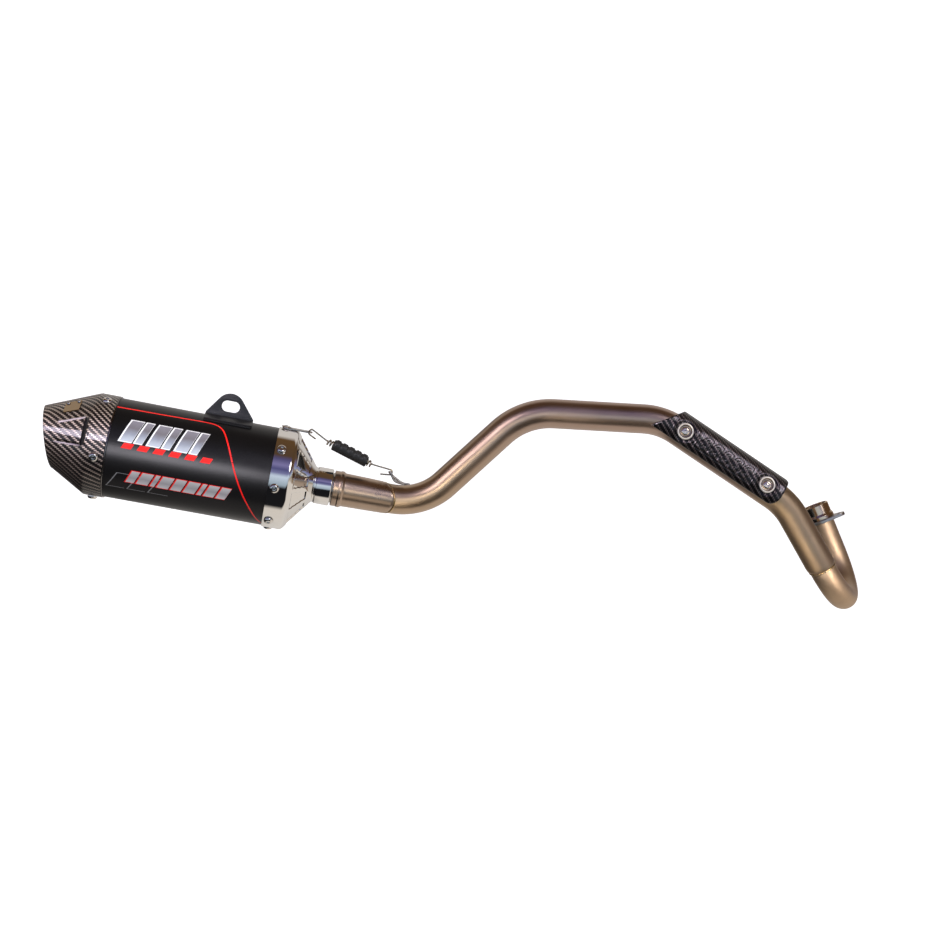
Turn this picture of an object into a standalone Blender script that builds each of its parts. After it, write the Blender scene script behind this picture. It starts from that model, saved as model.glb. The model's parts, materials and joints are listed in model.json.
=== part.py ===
"""Exhaust for a small motorcycle: header pipe, mid pipe with heat shield, and slip-on muffler.

World frame: metres, +Z up, +X towards the front of the motorcycle, +Y from the rider's right side
inwards. The origin is the centre of the exhaust port's mouth, which the port collar reaches into.
Sizes in this file are in millimetres and are multiplied by MM where they enter Blender.

The muffler's pieces are children of an empty at the slip joint, whose +Z runs along the muffler towards
the tail, +X towards the rider's right and +Y up. The flange and the collar are children of an empty at
the port, whose +Z points into the engine.
"""

import math

import bmesh
import bpy
from mathutils import Matrix, Vector

MM = 0.001
GAP = 0.3

# Pipe route: the corners of the bent tubes, each with its bend radius.
SLIP_CORNER = Vector((-398.9, -72.0, 4.3))
REAR_CORNER = Vector((-300.2, -72.0, 93.9))
FRONT_CORNER = Vector((-166.4, -72.0, 86.2))
DOWN_CORNER = Vector((-45.7, -72.0, 4.8))
HEADER_JOINT = Vector((-11.4, -72.0, -56.4))
LOOP_OUTER = Vector((6.0, -72.0, -87.2))
LOOP_INNER = Vector((35.3, 0.0, -87.2))
MID_BENDS = (60.0, 70.0, 64.0, 64.0)
HEADER_BEND = 38.0
MID_R = 28.575 / 2
HEADER_R = 25.4 / 2
PIPE_WALL = 1.2
BEND_STEP = math.radians(10)

# Port and flange.
PORT_LEAN = math.radians(22.0)
COLLAR_R = 13.6
COLLAR_FOOT_R = 14.8
COLLAR_FOOT = 5.5
COLLAR_TOP = 2.2
FLANGE_TOP = -13.6
FLANGE_THICKNESS = 3.2
FLANGE_BORE_R = 13.0
FLANGE_HUB_R = 16.2
STUD_PITCH = 19.0
STUD_HOLE_R = 3.2
EAR_R = 6.6
FLANGE_CLOCK = math.radians(-28.0)

# Muffler: axis direction, and stations along it counted from the slip joint.
SLIP_TO_CORNER = 33.0
TAIL_UP = math.radians(10.6)
TAIL_OUT = math.radians(7.4)
CAN_R = 47.2
CAN_WALL = 1.0
SKIRT_R = 48.4
SKIRT_INNER_R = 47.5
NECK_Z = 56.2
SHOULDER_Z = 97.0
CAN_FRONT_Z = 99.0
SKIRT_END_Z = 114.9
CAN_REAR_Z = 264.1
LIP_Z = 264.4
TAIL_SKIRT_Z = 265.4
TAIL_SHOULDER_Z = 282.7
OUTLET_TOP = (27.4, 332.2)
OUTLET_BOTTOM = (-27.5, 316.8)
CONE_SLOPE = 0.50
CONE_RISE = 0.0757
CAP_WALL = 2.2
CORE_R = 16.0
TAIL_TUBE_R = 17.0
SPIGOT_R = 14.45
BELL_R = 15.25

# Cap screws.
SCREW_HEAD_R = 4.5
SCREW_R = 2.4
SCREW_HOLE_R = 2.75
INLET_SCREWS = 8
INLET_SCREW_Z = 108.8
INLET_SCREW_START = math.radians(34.5)
TAIL_SCREWS = 5
TAIL_SCREW_Z = 274.2
TAIL_SCREW_START = math.radians(59.5)

# Hanger bracket.
TAB_X = (9.4, 11.9)
TAB_CENTRE = (163.7, 57.0)
TAB_R = 13.5
TAB_BASE = (185.5, 140.4)
TAB_FOOT_Y = 47.4
FOOT_ARC = (math.radians(61.5), math.radians(78.2))
FOOT_THICKNESS = 2.4
FOOT_TAPER = 2.4
SLOT_CENTRE = (163.3, 58.2)
SLOT_LENGTH = 17.0
SLOT_WIDTH = 10.4

# Spring: coil ends and hook points as (x, y, z) in the muffler's frame.
WIRE_R = 0.75
COIL_R = 3.0
COIL_TURNS = 17
COIL_REAR = Vector((7.5, 42.9, 68.5))
COIL_FRONT = Vector((3.8, 28.9, 22.0))
TAB_ANGLE = INLET_SCREW_START + math.radians(45)
REAR_HOOK_RHO = SKIRT_R + GAP + 0.6
REAR_HOOK_Z = 84.35
REAR_HOOK_R = 2.75
FRONT_BAR = Vector((2.5, 25.0, 4.0))
FRONT_HOOK_R = 2.6
SLEEVE_R = 5.3
SLEEVE_BORE_R = 4.05
SLEEVE_Z = (61.9, 27.5)

# Heat shield: stations along the straight run from FRONT_CORNER to DOWN_CORNER.
SHIELD_R = 19.6
SHIELD_WALL = 1.4
SHIELD_ARC = (math.radians(-36), math.radians(98))
SHIELD_START = (-7.0, 13.5)
SHIELD_END = 134.5
SHIELD_SCREWS = ((23.2, math.radians(4.5)), (116.5, math.radians(8.4)))


def clear_scene():
    for obj in list(bpy.data.objects):
        bpy.data.objects.remove(obj)


def new_collection(name):
    collection = bpy.data.collections.new(name)
    bpy.context.scene.collection.children.link(collection)
    return collection


clear_scene()
PARTS = new_collection("exhaust_muffler")
CUTTERS = new_collection("cutters")


def paint(name, colour, metallic, roughness):
    material = bpy.data.materials.new(name)
    material.use_nodes = True
    shader = material.node_tree.nodes["Principled BSDF"]
    shader.inputs["Base Color"].default_value = (*colour, 1)
    shader.inputs["Metallic"].default_value = metallic
    shader.inputs["Roughness"].default_value = roughness
    return material


TITANIUM = paint("satin_titanium", (0.36, 0.28, 0.22), 1.0, 0.32)
BLACK_CAN = paint("black_anodised", (0.015, 0.015, 0.017), 0.6, 0.35)
CARBON = paint("carbon_fibre", (0.03, 0.03, 0.032), 0.0, 0.15)
POLISHED = paint("polished_metal", (0.75, 0.74, 0.72), 1.0, 0.08)
STEEL = paint("plain_steel", (0.45, 0.44, 0.42), 1.0, 0.35)
BLACK_STEEL = paint("black_steel", (0.02, 0.02, 0.02), 0.2, 0.5)
RUBBER = paint("black_rubber", (0.02, 0.02, 0.02), 0.0, 0.7)
WOOL = paint("glass_wool", (0.75, 0.68, 0.45), 0.0, 0.9)


def add(name, data, material, parent=None, collection=PARTS):
    """An object that holds this mesh or curve. Its place is in its parent's frame."""
    obj = bpy.data.objects.new(name, data)
    collection.objects.link(obj)
    obj.parent = parent
    if material and not data.materials:
        data.materials.append(material)
    return obj


def empty(name, position, rotation):
    obj = bpy.data.objects.new(name, None)
    PARTS.objects.link(obj)
    obj.matrix_world = Matrix.Translation(position * MM) @ rotation.to_4x4()
    return obj


def frame_of(z_axis, near_x):
    """A rotation whose +Z is z_axis and whose +X is as close to near_x as it can be."""
    z_axis = z_axis.normalized()
    x_axis = (near_x - near_x.dot(z_axis) * z_axis).normalized()
    return Matrix((x_axis, z_axis.cross(x_axis), z_axis)).transposed()


def realised(obj):
    """The object's evaluated mesh, closed where its ends only touch, in place of its data."""
    bpy.context.view_layer.update()
    graph = bpy.context.evaluated_depsgraph_get()
    mesh = bpy.data.meshes.new_from_object(obj.evaluated_get(graph))
    shape = bmesh.new()
    shape.from_mesh(mesh)
    bmesh.ops.remove_doubles(shape, verts=shape.verts, dist=1e-6)
    bmesh.ops.recalc_face_normals(shape, faces=shape.faces)
    shape.to_mesh(mesh)
    shape.free()
    made = add(obj.name + "_mesh", mesh, None, obj.parent, obj.users_collection[0])
    made.matrix_world = obj.matrix_world
    name = obj.name
    bpy.data.objects.remove(obj)
    made.name = name
    return made


def smooth(mesh, degrees=35):
    mesh.shade_smooth()
    mesh.set_sharp_from_angle(angle=math.radians(degrees))


def turned(name, profile, material, parent, steps=40, closed=False, collection=PARTS):
    """A profile of (radius, station) turned round the parent's Z. It runs down its outer side."""
    mesh = bpy.data.meshes.new(name)
    shape = bmesh.new()
    corners = [shape.verts.new((r * MM, 0, z * MM)) for r, z in profile]
    for first, second in zip(corners, corners[1:] + corners[:1] * closed):
        shape.edges.new((first, second))
    shape.to_mesh(mesh)
    shape.free()
    obj = add(name, mesh, material, parent, collection)
    screw = obj.modifiers.new("turn", "SCREW")
    screw.steps = steps
    screw.render_steps = steps
    screw.use_merge_vertices = True
    screw.merge_threshold = 0.00001
    screw.use_smooth_shade = True
    return obj


def ring(name, profile, material, parent, steps=40):
    """A turned piece with a hole through it, so its profile is a closed loop."""
    return turned(name, profile, material, parent, steps, closed=True)


def curve_data(name, dimensions="3D"):
    curve = bpy.data.curves.new(name, "CURVE")
    curve.dimensions = dimensions
    return curve


def add_spline(curve, points, cyclic=False, radii=None):
    spline = curve.splines.new("POLY")
    spline.points.add(len(points) - 1)
    for index, point in enumerate(points):
        spline.points[index].co = (*(Vector(point) * MM), 1)
        spline.points[index].radius = radii[index] if radii else 1
    spline.use_cyclic_u = cyclic


def wire(name, points, radius, material, parent=None, resolution=2):
    """A round rod along the points, with closed ends."""
    curve = curve_data(name)
    curve.bevel_depth = radius * MM
    curve.bevel_resolution = resolution
    curve.use_fill_caps = True
    add_spline(curve, points)
    return realised(add(name, curve, material, parent))


def pipe(name, points, radius, material, radii=None):
    """A hollow tube along the points, open at both ends."""
    curve = curve_data(name)
    curve.bevel_depth = radius * MM
    curve.bevel_resolution = 6
    add_spline(curve, points, radii=radii)
    obj = realised(add(name, curve, material))
    wall = obj.modifiers.new("wall", "SOLIDIFY")
    wall.thickness = PIPE_WALL * MM
    wall.offset = -1
    smooth(obj.data)
    return obj


def plate(name, outlines, thickness, material, parent, collection=PARTS):
    """A flat outline with its holes, lying in the parent's XY plane and centred on it."""
    curve = curve_data(name, "2D")
    curve.fill_mode = "BOTH"
    curve.extrude = thickness * MM / 2
    for outline in outlines:
        add_spline(curve, [(x, y, 0) for x, y in outline], cyclic=True)
    return add(name, curve, material, parent, collection)


def circle(centre, radius, count, start=0.0, turn=2 * math.pi):
    """Points of an arc. A whole circle leaves out its last point, which would repeat the first."""
    parts = count if turn >= 2 * math.pi else count - 1
    angles = [start + turn * index / parts for index in range(count)]
    return [(centre[0] + radius * math.cos(a), centre[1] + radius * math.sin(a)) for a in angles]


def rod(name, radius, bottom, top, steps, parent):
    """A cylinder along the parent's Z that only cuts."""
    profile = [(0, top), (radius, top), (radius, bottom), (0, bottom)]
    cutter = turned(name, profile, None, parent, steps, collection=CUTTERS)
    return hide(cutter)


def hide(cutter):
    cutter.hide_render = True
    cutter.display_type = "WIRE"
    return cutter


def combine(obj, other, operation="DIFFERENCE"):
    modifier = obj.modifiers.new(other.name, "BOOLEAN")
    modifier.operation = operation
    modifier.solver = "EXACT"
    modifier.object = other


def turn_about_z(angle):
    return Matrix.Rotation(angle, 4, "Z")


def radial_place(angle, station, radius=0.0):
    """In a turned piece's frame: +Z outwards at this angle from +X, at this station and radius."""
    out = Vector((math.cos(angle), math.sin(angle), 0))
    rotation = frame_of(out, Vector((0, 0, 1)))
    return Matrix.Translation((out * radius + Vector((0, 0, station))) * MM) @ rotation.to_4x4()


def bent_route(corners, bends):
    """Points along straight runs joined by arcs, one arc for each corner between the ends."""
    route = [corners[0]]
    for before, corner, after, bend in zip(corners, corners[1:], corners[2:], bends):
        arriving = (corner - before).normalized()
        leaving = (after - corner).normalized()
        turn = arriving.angle(leaving)
        tangent = bend * math.tan(turn / 2)
        start = corner - arriving * tangent
        inward = (leaving - arriving * arriving.dot(leaving)).normalized()
        steps = max(2, round(turn / BEND_STEP))
        for index in range(steps + 1):
            angle = turn * index / steps
            run = arriving * math.sin(angle) + inward * (1 - math.cos(angle))
            route.append(start + run * bend)
    route.append(corners[-1])
    return route


# The two frames that hold pieces.
MUFFLER_AXIS = Vector((
    -math.cos(TAIL_UP) * math.cos(TAIL_OUT),
    -math.cos(TAIL_UP) * math.sin(TAIL_OUT),
    math.sin(TAIL_UP),
))
SLIP_JOINT = SLIP_CORNER + MUFFLER_AXIS * SLIP_TO_CORNER
MUFFLER = empty("muffler_axis", SLIP_JOINT, frame_of(MUFFLER_AXIS, Vector((0, -1, 0))))
PORT_AXIS = Vector((-math.sin(PORT_LEAN), 0, math.cos(PORT_LEAN)))
PORT = empty("port_axis", Vector((0, 0, 0)), frame_of(PORT_AXIS, Vector((1, 0, 0))))
bpy.context.view_layer.update()


def make_mid_pipe():
    """Its front end is rolled in to meet the smaller header pipe."""
    corners = [SLIP_JOINT, SLIP_CORNER, REAR_CORNER, FRONT_CORNER, DOWN_CORNER, HEADER_JOINT]
    route = bent_route(corners, MID_BENDS)
    final_run = (route[-1] - route[-2]).normalized()
    rolled = ((6.0, 1.0), (3.0, 0.985), (1.2, 0.955))
    end = route.pop()
    radii = [1.0] * len(route)
    for back, factor in rolled:
        route.append(end - final_run * back)
        radii.append(factor)
    route.append(end)
    radii.append(0.92)
    pipe("mid_pipe", route, MID_R, TITANIUM, radii)


def make_header_pipe():
    start = HEADER_JOINT + (LOOP_OUTER - HEADER_JOINT).normalized() * GAP
    end = PORT_AXIS * FLANGE_TOP
    route = bent_route([start, LOOP_OUTER, LOOP_INNER, end], [HEADER_BEND] * 2)
    pipe("header_pipe", route, HEADER_R, TITANIUM)


def make_port_collar():
    bottom = FLANGE_TOP + GAP
    foot = bottom + COLLAR_FOOT
    bore = HEADER_R - PIPE_WALL
    profile = [
        (COLLAR_R - 0.8, COLLAR_TOP), (COLLAR_R, COLLAR_TOP - 0.8), (COLLAR_R, foot),
        (COLLAR_FOOT_R, foot - 1.0), (COLLAR_FOOT_R, bottom), (bore, bottom), (bore, COLLAR_TOP),
    ]
    ring("port_collar", profile, POLISHED, PORT, 28)


def make_flange():
    """A hub with two ears: arcs of three circles, joined by their common tangents."""
    lean = math.acos((FLANGE_HUB_R - EAR_R) / STUD_PITCH)
    outline = []
    for side in (0, math.pi):
        ear = (STUD_PITCH * math.cos(side), STUD_PITCH * math.sin(side))
        outline += circle(ear, EAR_R, 7, side - lean, 2 * lean)
        outline += circle((0, 0), FLANGE_HUB_R, 5, side + lean, math.pi - 2 * lean)
    holes = [circle((sign * STUD_PITCH, 0), STUD_HOLE_R, 10) for sign in (1, -1)]
    bore = circle((0, 0), FLANGE_BORE_R, 24)
    flange = plate("header_flange", [outline, bore, *holes], FLANGE_THICKNESS, STEEL, PORT)
    middle = Vector((0, 0, FLANGE_TOP - FLANGE_THICKNESS / 2)) * MM
    flange.matrix_basis = Matrix.Translation(middle) @ turn_about_z(FLANGE_CLOCK)
    smooth(realised(flange).data)


def make_slip_bell():
    """The mid pipe's end: a socket for the muffler's spigot, with a stop bead and a stiff mouth."""
    bore = SPIGOT_R + 0.5
    profile = [
        (17.1, 54.8), (17.1, 49.6), (17.5, 48.4), (17.5, 46.6), (16.2, 44.6), (16.1, 42.0),
        (BELL_R, 0.1), (MID_R - PIPE_WALL, 0.1), (bore, 6.0), (bore, 54.8),
    ]
    ring("slip_bell", profile, TITANIUM, MUFFLER, 32)


def bead(radius, station, size):
    """The closed section of a half-round bead on a surface of this radius, outer side down."""
    return circle((radius + GAP, station), size, 5, math.pi / 2, -math.pi)


def make_weld_beads():
    ring("slip_weld", bead(MID_R, -1.5, 1.1), TITANIUM, MUFFLER, 24)
    down = (LOOP_OUTER - HEADER_JOINT).normalized()
    joint = empty("header_joint", HEADER_JOINT, frame_of(-down, Vector((0, -1, 0))))
    bpy.context.view_layer.update()
    ring("header_weld", bead(HEADER_R, -1.9, 1.1), TITANIUM, joint, 24)


def make_spring_bail():
    """A bent wire loop on the pipe for the spring's front hook."""
    half = 4.5
    side = [(-13.5, 17.1), (-7.5, 16.6), (-4.0, 18.4), (2.2, 23.4)]
    near = [Vector((FRONT_BAR.x + half, y, z)) for z, y in side]
    top = [
        FRONT_BAR + Vector((half * math.cos(a), 0, half * 0.35 * (math.sin(a) - 1)))
        for a in [math.radians(10 + 20 * index) for index in range(9)]
    ]
    far = [Vector((FRONT_BAR.x - half, point.y, point.z)) for point in reversed(near)]
    wire("spring_bail", near + top + far, 1.1, STEEL, MUFFLER)


def screw_profile(head_r, head_h, socket_r, shank_r, shank):
    """A button head with its socket, and a shank. Station 0 is under the head."""
    return [
        (0, head_h * 0.4), (socket_r, head_h * 0.4), (socket_r, head_h),
        (head_r * 0.62, head_h), (head_r * 0.9, head_h * 0.62), (head_r, head_h * 0.15),
        (head_r, 0), (shank_r, 0), (shank_r, -shank), (0, -shank),
    ]


def repeat_screws(name, profile, places, material, parent):
    """One screw, then copies of it that share its mesh."""
    first = turned(f"{name}_1", profile, material, parent, 10)
    first = realised(first)
    smooth(first.data)
    first.matrix_basis = places[0]
    for index, place in enumerate(places[1:], 2):
        copy = add(f"{name}_{index}", first.data, None, parent)
        copy.matrix_basis = place


def screw_angles(count, start):
    return [start + 2 * math.pi * index / count for index in range(count)]


def drill(obj, name, angles, station, inner, outer):
    """Radial screw holes through a turned wall."""
    for index, angle in enumerate(angles, 1):
        cutter = rod(f"{name}_{index}", SCREW_HOLE_R, inner, outer, 8, MUFFLER)
        cutter.matrix_basis = radial_place(angle, station)
        combine(obj, cutter)


def make_can():
    inner = CAN_R - CAN_WALL
    profile = [(CAN_R, CAN_REAR_Z), (CAN_R, CAN_FRONT_Z), (inner, CAN_FRONT_Z), (inner, CAN_REAR_Z)]
    can = realised(ring("can_sleeve", profile, BLACK_CAN, MUFFLER, 48))
    drill(can, "can_hole", screw_angles(INLET_SCREWS, INLET_SCREW_START), INLET_SCREW_Z, 44, 50)
    smooth(can.data)


def make_inlet_cap():
    """A thin skirt round the can, a steep cone, and a grooved neck that holds the spigot."""
    bore = SPIGOT_R + GAP
    profile = [
        (SKIRT_R, SKIRT_END_Z), (SKIRT_R, SHOULDER_Z), (SKIRT_R - 1.0, SHOULDER_Z - 1.4),
        (21.5, 76.5), (18.6, 74.4), (17.8, 73.6), (16.9, 72.6), (16.9, 71.6), (17.8, 70.8),
        (17.8, NECK_Z + 0.5), (17.3, NECK_Z), (bore, NECK_Z), (bore, 78.5), (20.5, 80.5),
        (43.5, SHOULDER_Z), (46.0, CAN_FRONT_Z - 0.7), (SKIRT_INNER_R, CAN_FRONT_Z - 0.7),
        (SKIRT_INNER_R, SKIRT_END_Z),
    ]
    cap = realised(ring("inlet_cap", profile, POLISHED, MUFFLER, 48))
    drill(cap, "inlet_hole", screw_angles(INLET_SCREWS, INLET_SCREW_START), INLET_SCREW_Z, 46.8, 50)
    smooth(cap.data)


def tube_profile(outer, wall, low, high):
    return [(outer, high), (outer, low), (outer - wall, low), (outer - wall, high)]


def make_core():
    """The perforated inner tube."""
    core = realised(ring("perforated_core", tube_profile(CORE_R, 1.0, 84, 249.5), STEEL, MUFFLER, 18))
    around, along, first, pitch = 6, 5, 116, 27
    shape = bmesh.new()
    for row in range(along):
        for angle in screw_angles(around, math.radians(10 + 30 * (row % 2))):
            place = radial_place(angle, first + pitch * row, CORE_R - 0.5)
            bmesh.ops.create_cone(
                shape, cap_ends=True, segments=6, radius1=3 * MM, radius2=3 * MM,
                depth=4 * MM, matrix=place,
            )
    mesh = bpy.data.meshes.new("perforations")
    shape.to_mesh(mesh)
    shape.free()
    combine(core, hide(add("perforations", mesh, None, MUFFLER, CUTTERS)))
    smooth(core.data)


def make_inner_tubes():
    ring("inlet_spigot", tube_profile(SPIGOT_R, 1.2, 10, 100), STEEL, MUFFLER, 28)
    ring("tail_tube", tube_profile(TAIL_TUBE_R, 1.2, 250, 309), STEEL, MUFFLER, 28)
    outer = CAN_R - CAN_WALL - 0.5
    inner = CORE_R + 0.5
    ring("packing", tube_profile(outer, outer - inner, 114.5, 249), WOOL, MUFFLER, 24)


def make_end_ring():
    """It closes the can, shows as a thin lip, and carries the screws of the tail cap."""
    seat = SKIRT_R - CAP_WALL - 0.6
    collar = seat - 3.0
    spigot = CAN_R - CAN_WALL - GAP
    bore = TAIL_TUBE_R + GAP
    profile = [
        (seat, 281), (seat, LIP_Z + 0.7), (SKIRT_R - 0.4, LIP_Z + 0.7), (SKIRT_R - 0.4, LIP_Z),
        (spigot, LIP_Z), (spigot, 256), (bore, 256), (bore, 258.5), (collar, 258.5), (collar, 281),
    ]
    end_ring = realised(ring("end_ring", profile, POLISHED, MUFFLER, 40))
    drill(end_ring, "ring_hole", screw_angles(TAIL_SCREWS, TAIL_SCREW_START), TAIL_SCREW_Z, 40, 47)
    smooth(end_ring.data)


def make_tail_cap():
    """A skirt and a cone that rises a little, cut off by a slanted plane at the outlet."""
    length = 60.0
    top = TAIL_SHOULDER_Z + length
    tip = SKIRT_R - CONE_SLOPE * length
    inner = SKIRT_R - CAP_WALL
    profile = [
        (tip, top), (SKIRT_R - 1.0, TAIL_SHOULDER_Z + 1.6), (SKIRT_R, TAIL_SHOULDER_Z - 0.8),
        (SKIRT_R, TAIL_SKIRT_Z), (inner, TAIL_SKIRT_Z), (inner, TAIL_SHOULDER_Z - 1.4),
        (tip - CAP_WALL * 1.12, top),
    ]
    cap = realised(ring("tail_cap", profile, CARBON, MUFFLER, 48))
    for vertex in cap.data.vertices:
        past = vertex.co.z - TAIL_SHOULDER_Z * MM
        vertex.co.y += max(0, past) * CONE_RISE
    low, high = Vector((0, *OUTLET_BOTTOM)), Vector((0, *OUTLET_TOP))
    slant = frame_of((high - low).cross(Vector((1, 0, 0))) * -1, Vector((1, 0, 0)))
    size = 2 * length
    shape = bmesh.new()
    bmesh.ops.create_cube(shape, size=size * MM)
    mesh = bpy.data.meshes.new("outlet_cut")
    shape.to_mesh(mesh)
    shape.free()
    cutter = hide(add("outlet_cut", mesh, None, MUFFLER, CUTTERS))
    out = slant.col[2] if slant.col[2].z > 0 else -slant.col[2]
    centre = (low + high) / 2 + out * size / 2
    cutter.matrix_basis = Matrix.Translation(centre * MM) @ slant.to_4x4()
    combine(cap, cutter)
    drill(cap, "tail_hole", screw_angles(TAIL_SCREWS, TAIL_SCREW_START), TAIL_SCREW_Z, 45.9, 50)
    smooth(cap.data)


def make_cap_screws():
    profile = screw_profile(SCREW_HEAD_R, 2.6, 1.7, SCREW_R, 3.6)
    radius = SKIRT_R + GAP
    for name, count, start, station in (
        ("inlet_screw", INLET_SCREWS, INLET_SCREW_START, INLET_SCREW_Z),
        ("tail_screw", TAIL_SCREWS, TAIL_SCREW_START, TAIL_SCREW_Z),
    ):
        places = [radial_place(angle, station, radius) for angle in screw_angles(count, start)]
        if name == "inlet_screw":
            places[1] = radial_place(TAB_ANGLE, station, radius + 1.2 + GAP)
        repeat_screws(name, profile, places, POLISHED, MUFFLER)


def make_spring_tab():
    """A strap under the upper inlet screw. The spring's rear hook passes through its end."""
    width, thickness = 8.0, 1.2
    tip = REAR_HOOK_Z - 1.0
    hole = REAR_HOOK_Z + REAR_HOOK_R + 0.4
    rear = INLET_SCREW_Z + 5.6
    outline = circle((rear - 4, 0), width / 2, 7, -math.pi / 2, math.pi)
    outline += circle((tip + 4, 0), width / 2, 7, math.pi / 2, math.pi)
    screw_hole = circle((INLET_SCREW_Z, 0), SCREW_HOLE_R, 10)
    hook_hole = circle((hole, 0), 2.2, 10)
    strap = plate("spring_tab", [outline, screw_hole, hook_hole], thickness, STEEL, MUFFLER)
    strap.matrix_basis = radial_place(TAB_ANGLE, 0, REAR_HOOK_RHO)
    smooth(realised(strap).data)


def make_hanger():
    """A slotted tab that stands on the can, on a foot that follows the can's curve."""
    outline = [(TAB_BASE[0], TAB_FOOT_Y), (TAB_BASE[0], TAB_FOOT_Y + 2.2)]
    ends = []
    for base, side in ((TAB_BASE[0], 1), (TAB_BASE[1], -1)):
        away = Vector((base - TAB_CENTRE[0], TAB_FOOT_Y + 2.2 - TAB_CENTRE[1]))
        ends.append(math.atan2(away.y, away.x) + side * math.acos(TAB_R / away.length))
    sweep = (ends[1] - ends[0]) % (2 * math.pi)
    outline += circle(TAB_CENTRE, TAB_R, 11, ends[0], sweep)
    outline += [(TAB_BASE[1], TAB_FOOT_Y + 2.2), (TAB_BASE[1], TAB_FOOT_Y)]
    half = (SLOT_LENGTH - SLOT_WIDTH) / 2
    slot = circle((SLOT_CENTRE[0] + half, SLOT_CENTRE[1]), SLOT_WIDTH / 2, 7, -math.pi / 2, math.pi)
    slot += circle((SLOT_CENTRE[0] - half, SLOT_CENTRE[1]), SLOT_WIDTH / 2, 7, math.pi / 2, math.pi)
    thickness = TAB_X[1] - TAB_X[0]
    tab = plate("hanger_bracket", [outline, slot], thickness, BLACK_STEEL, MUFFLER)
    along_z = Matrix(((0, 0, 1), (0, 1, 0), (1, 0, 0))) @ Matrix.Diagonal((1, 1, -1))
    middle = Vector((sum(TAB_X) / 2, 0, 0)) * MM
    tab.matrix_basis = Matrix.Translation(middle) @ along_z.to_4x4()
    tab = realised(tab)

    shape = bmesh.new()
    bmesh.ops.create_grid(shape, x_segments=2, y_segments=6, size=0.5)
    radius = CAN_R + GAP
    for vertex in shape.verts:
        angle = FOOT_ARC[0] + (FOOT_ARC[1] - FOOT_ARC[0]) * (vertex.co.y + 0.5)
        length = TAB_BASE[0] - TAB_BASE[1] - FOOT_TAPER * abs(vertex.co.y)
        station = sum(TAB_BASE) / 2 + vertex.co.x * length
        vertex.co = Vector((radius * math.cos(angle), radius * math.sin(angle), station)) * MM
    mesh = bpy.data.meshes.new("hanger_foot")
    shape.to_mesh(mesh)
    shape.free()
    foot = add("hanger_foot", mesh, None, MUFFLER, CUTTERS)
    outward = foot.data.polygons[0].normal.dot(foot.data.polygons[0].center * Vector((1, 1, 0))) > 0
    skin = foot.modifiers.new("thickness", "SOLIDIFY")
    skin.thickness = FOOT_THICKNESS * MM
    skin.offset = 1 if outward else -1
    foot = hide(realised(foot))
    combine(tab, foot, "UNION")
    smooth(tab.data)


def make_badge():
    """A small plate with two rivets on top of the tail cap's cone."""
    angle, station = math.radians(50), 303.5
    slope = math.atan(CONE_SLOPE) * 0.97
    radius = SKIRT_R - CONE_SLOPE * (station - TAIL_SHOULDER_Z)
    rise = CONE_RISE * (station - TAIL_SHOULDER_Z)
    place = radial_place(angle, station, radius)
    place = Matrix.Translation((0, rise * MM, 0)) @ place @ Matrix.Rotation(slope, 4, "Y")
    lift = 0.55
    half_x, half_y, corner = 8.0, 7.2, 1.8
    outline = []
    for index, (sx, sy) in enumerate(((1, 1), (-1, 1), (-1, -1), (1, -1))):
        centre = (sx * (half_x - corner), sy * (half_y - corner))
        outline += circle(centre, corner, 4, index * math.pi / 2, math.pi / 2)
    badge = plate("badge_plate", [outline], 0.8, POLISHED, MUFFLER)
    badge.matrix_basis = place @ Matrix.Translation((0, 0, lift * MM))
    smooth(realised(badge).data)
    head = [(0, 1.3), (1.0, 1.1), (1.7, 0.3), (1.7, 0), (0, 0)]
    top = (lift + 0.4 + GAP / 2) * MM
    places = [place @ Matrix.Translation((x * MM, -5.2 * MM, top)) for x in (-5.3, 5.3)]
    repeat_screws("badge_rivet", head, places, POLISHED, MUFFLER)


def spring_points():
    """Rear hook, helix, front hook, in the muffler's frame."""
    axis = (COIL_FRONT - COIL_REAR).normalized()
    up = (Vector((0, 1, 0)) - axis * axis.y).normalized()
    side = axis.cross(up)
    per_turn = 8
    length = (COIL_FRONT - COIL_REAR).length
    coil = []
    for index in range(COIL_TURNS * per_turn + 1):
        angle = 2 * math.pi * index / per_turn
        along = axis * length * index / (COIL_TURNS * per_turn)
        round_axis = up * math.cos(angle) + side * math.sin(angle)
        coil.append(COIL_REAR + along + round_axis * COIL_R)

    out = Vector((math.cos(TAB_ANGLE), math.sin(TAB_ANGLE), 0))
    rear = out * REAR_HOOK_RHO + Vector((0, 0, REAR_HOOK_Z))
    back = Vector((0, 0, 1))
    rear_hook = [rear + out * -5.2 - back * 4.4]
    for degrees in (-60, -25, 10, 45, 80, 110):
        a = math.radians(degrees)
        rear_hook.append(rear + (back * math.cos(a) + out * math.sin(a)) * REAR_HOOK_R)

    bar = FRONT_BAR
    upward, front = Vector((0, 1, 0)), Vector((0, 0, -1))
    front_hook = []
    for degrees in (100, 65, 30, -5, -40, -75):
        a = math.radians(degrees)
        front_hook.append(bar + (front * math.cos(a) + upward * math.sin(a)) * FRONT_HOOK_R)
    front_hook.append(bar - upward * 3.4 - front * 8.0)
    return rear_hook + coil + front_hook


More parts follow.
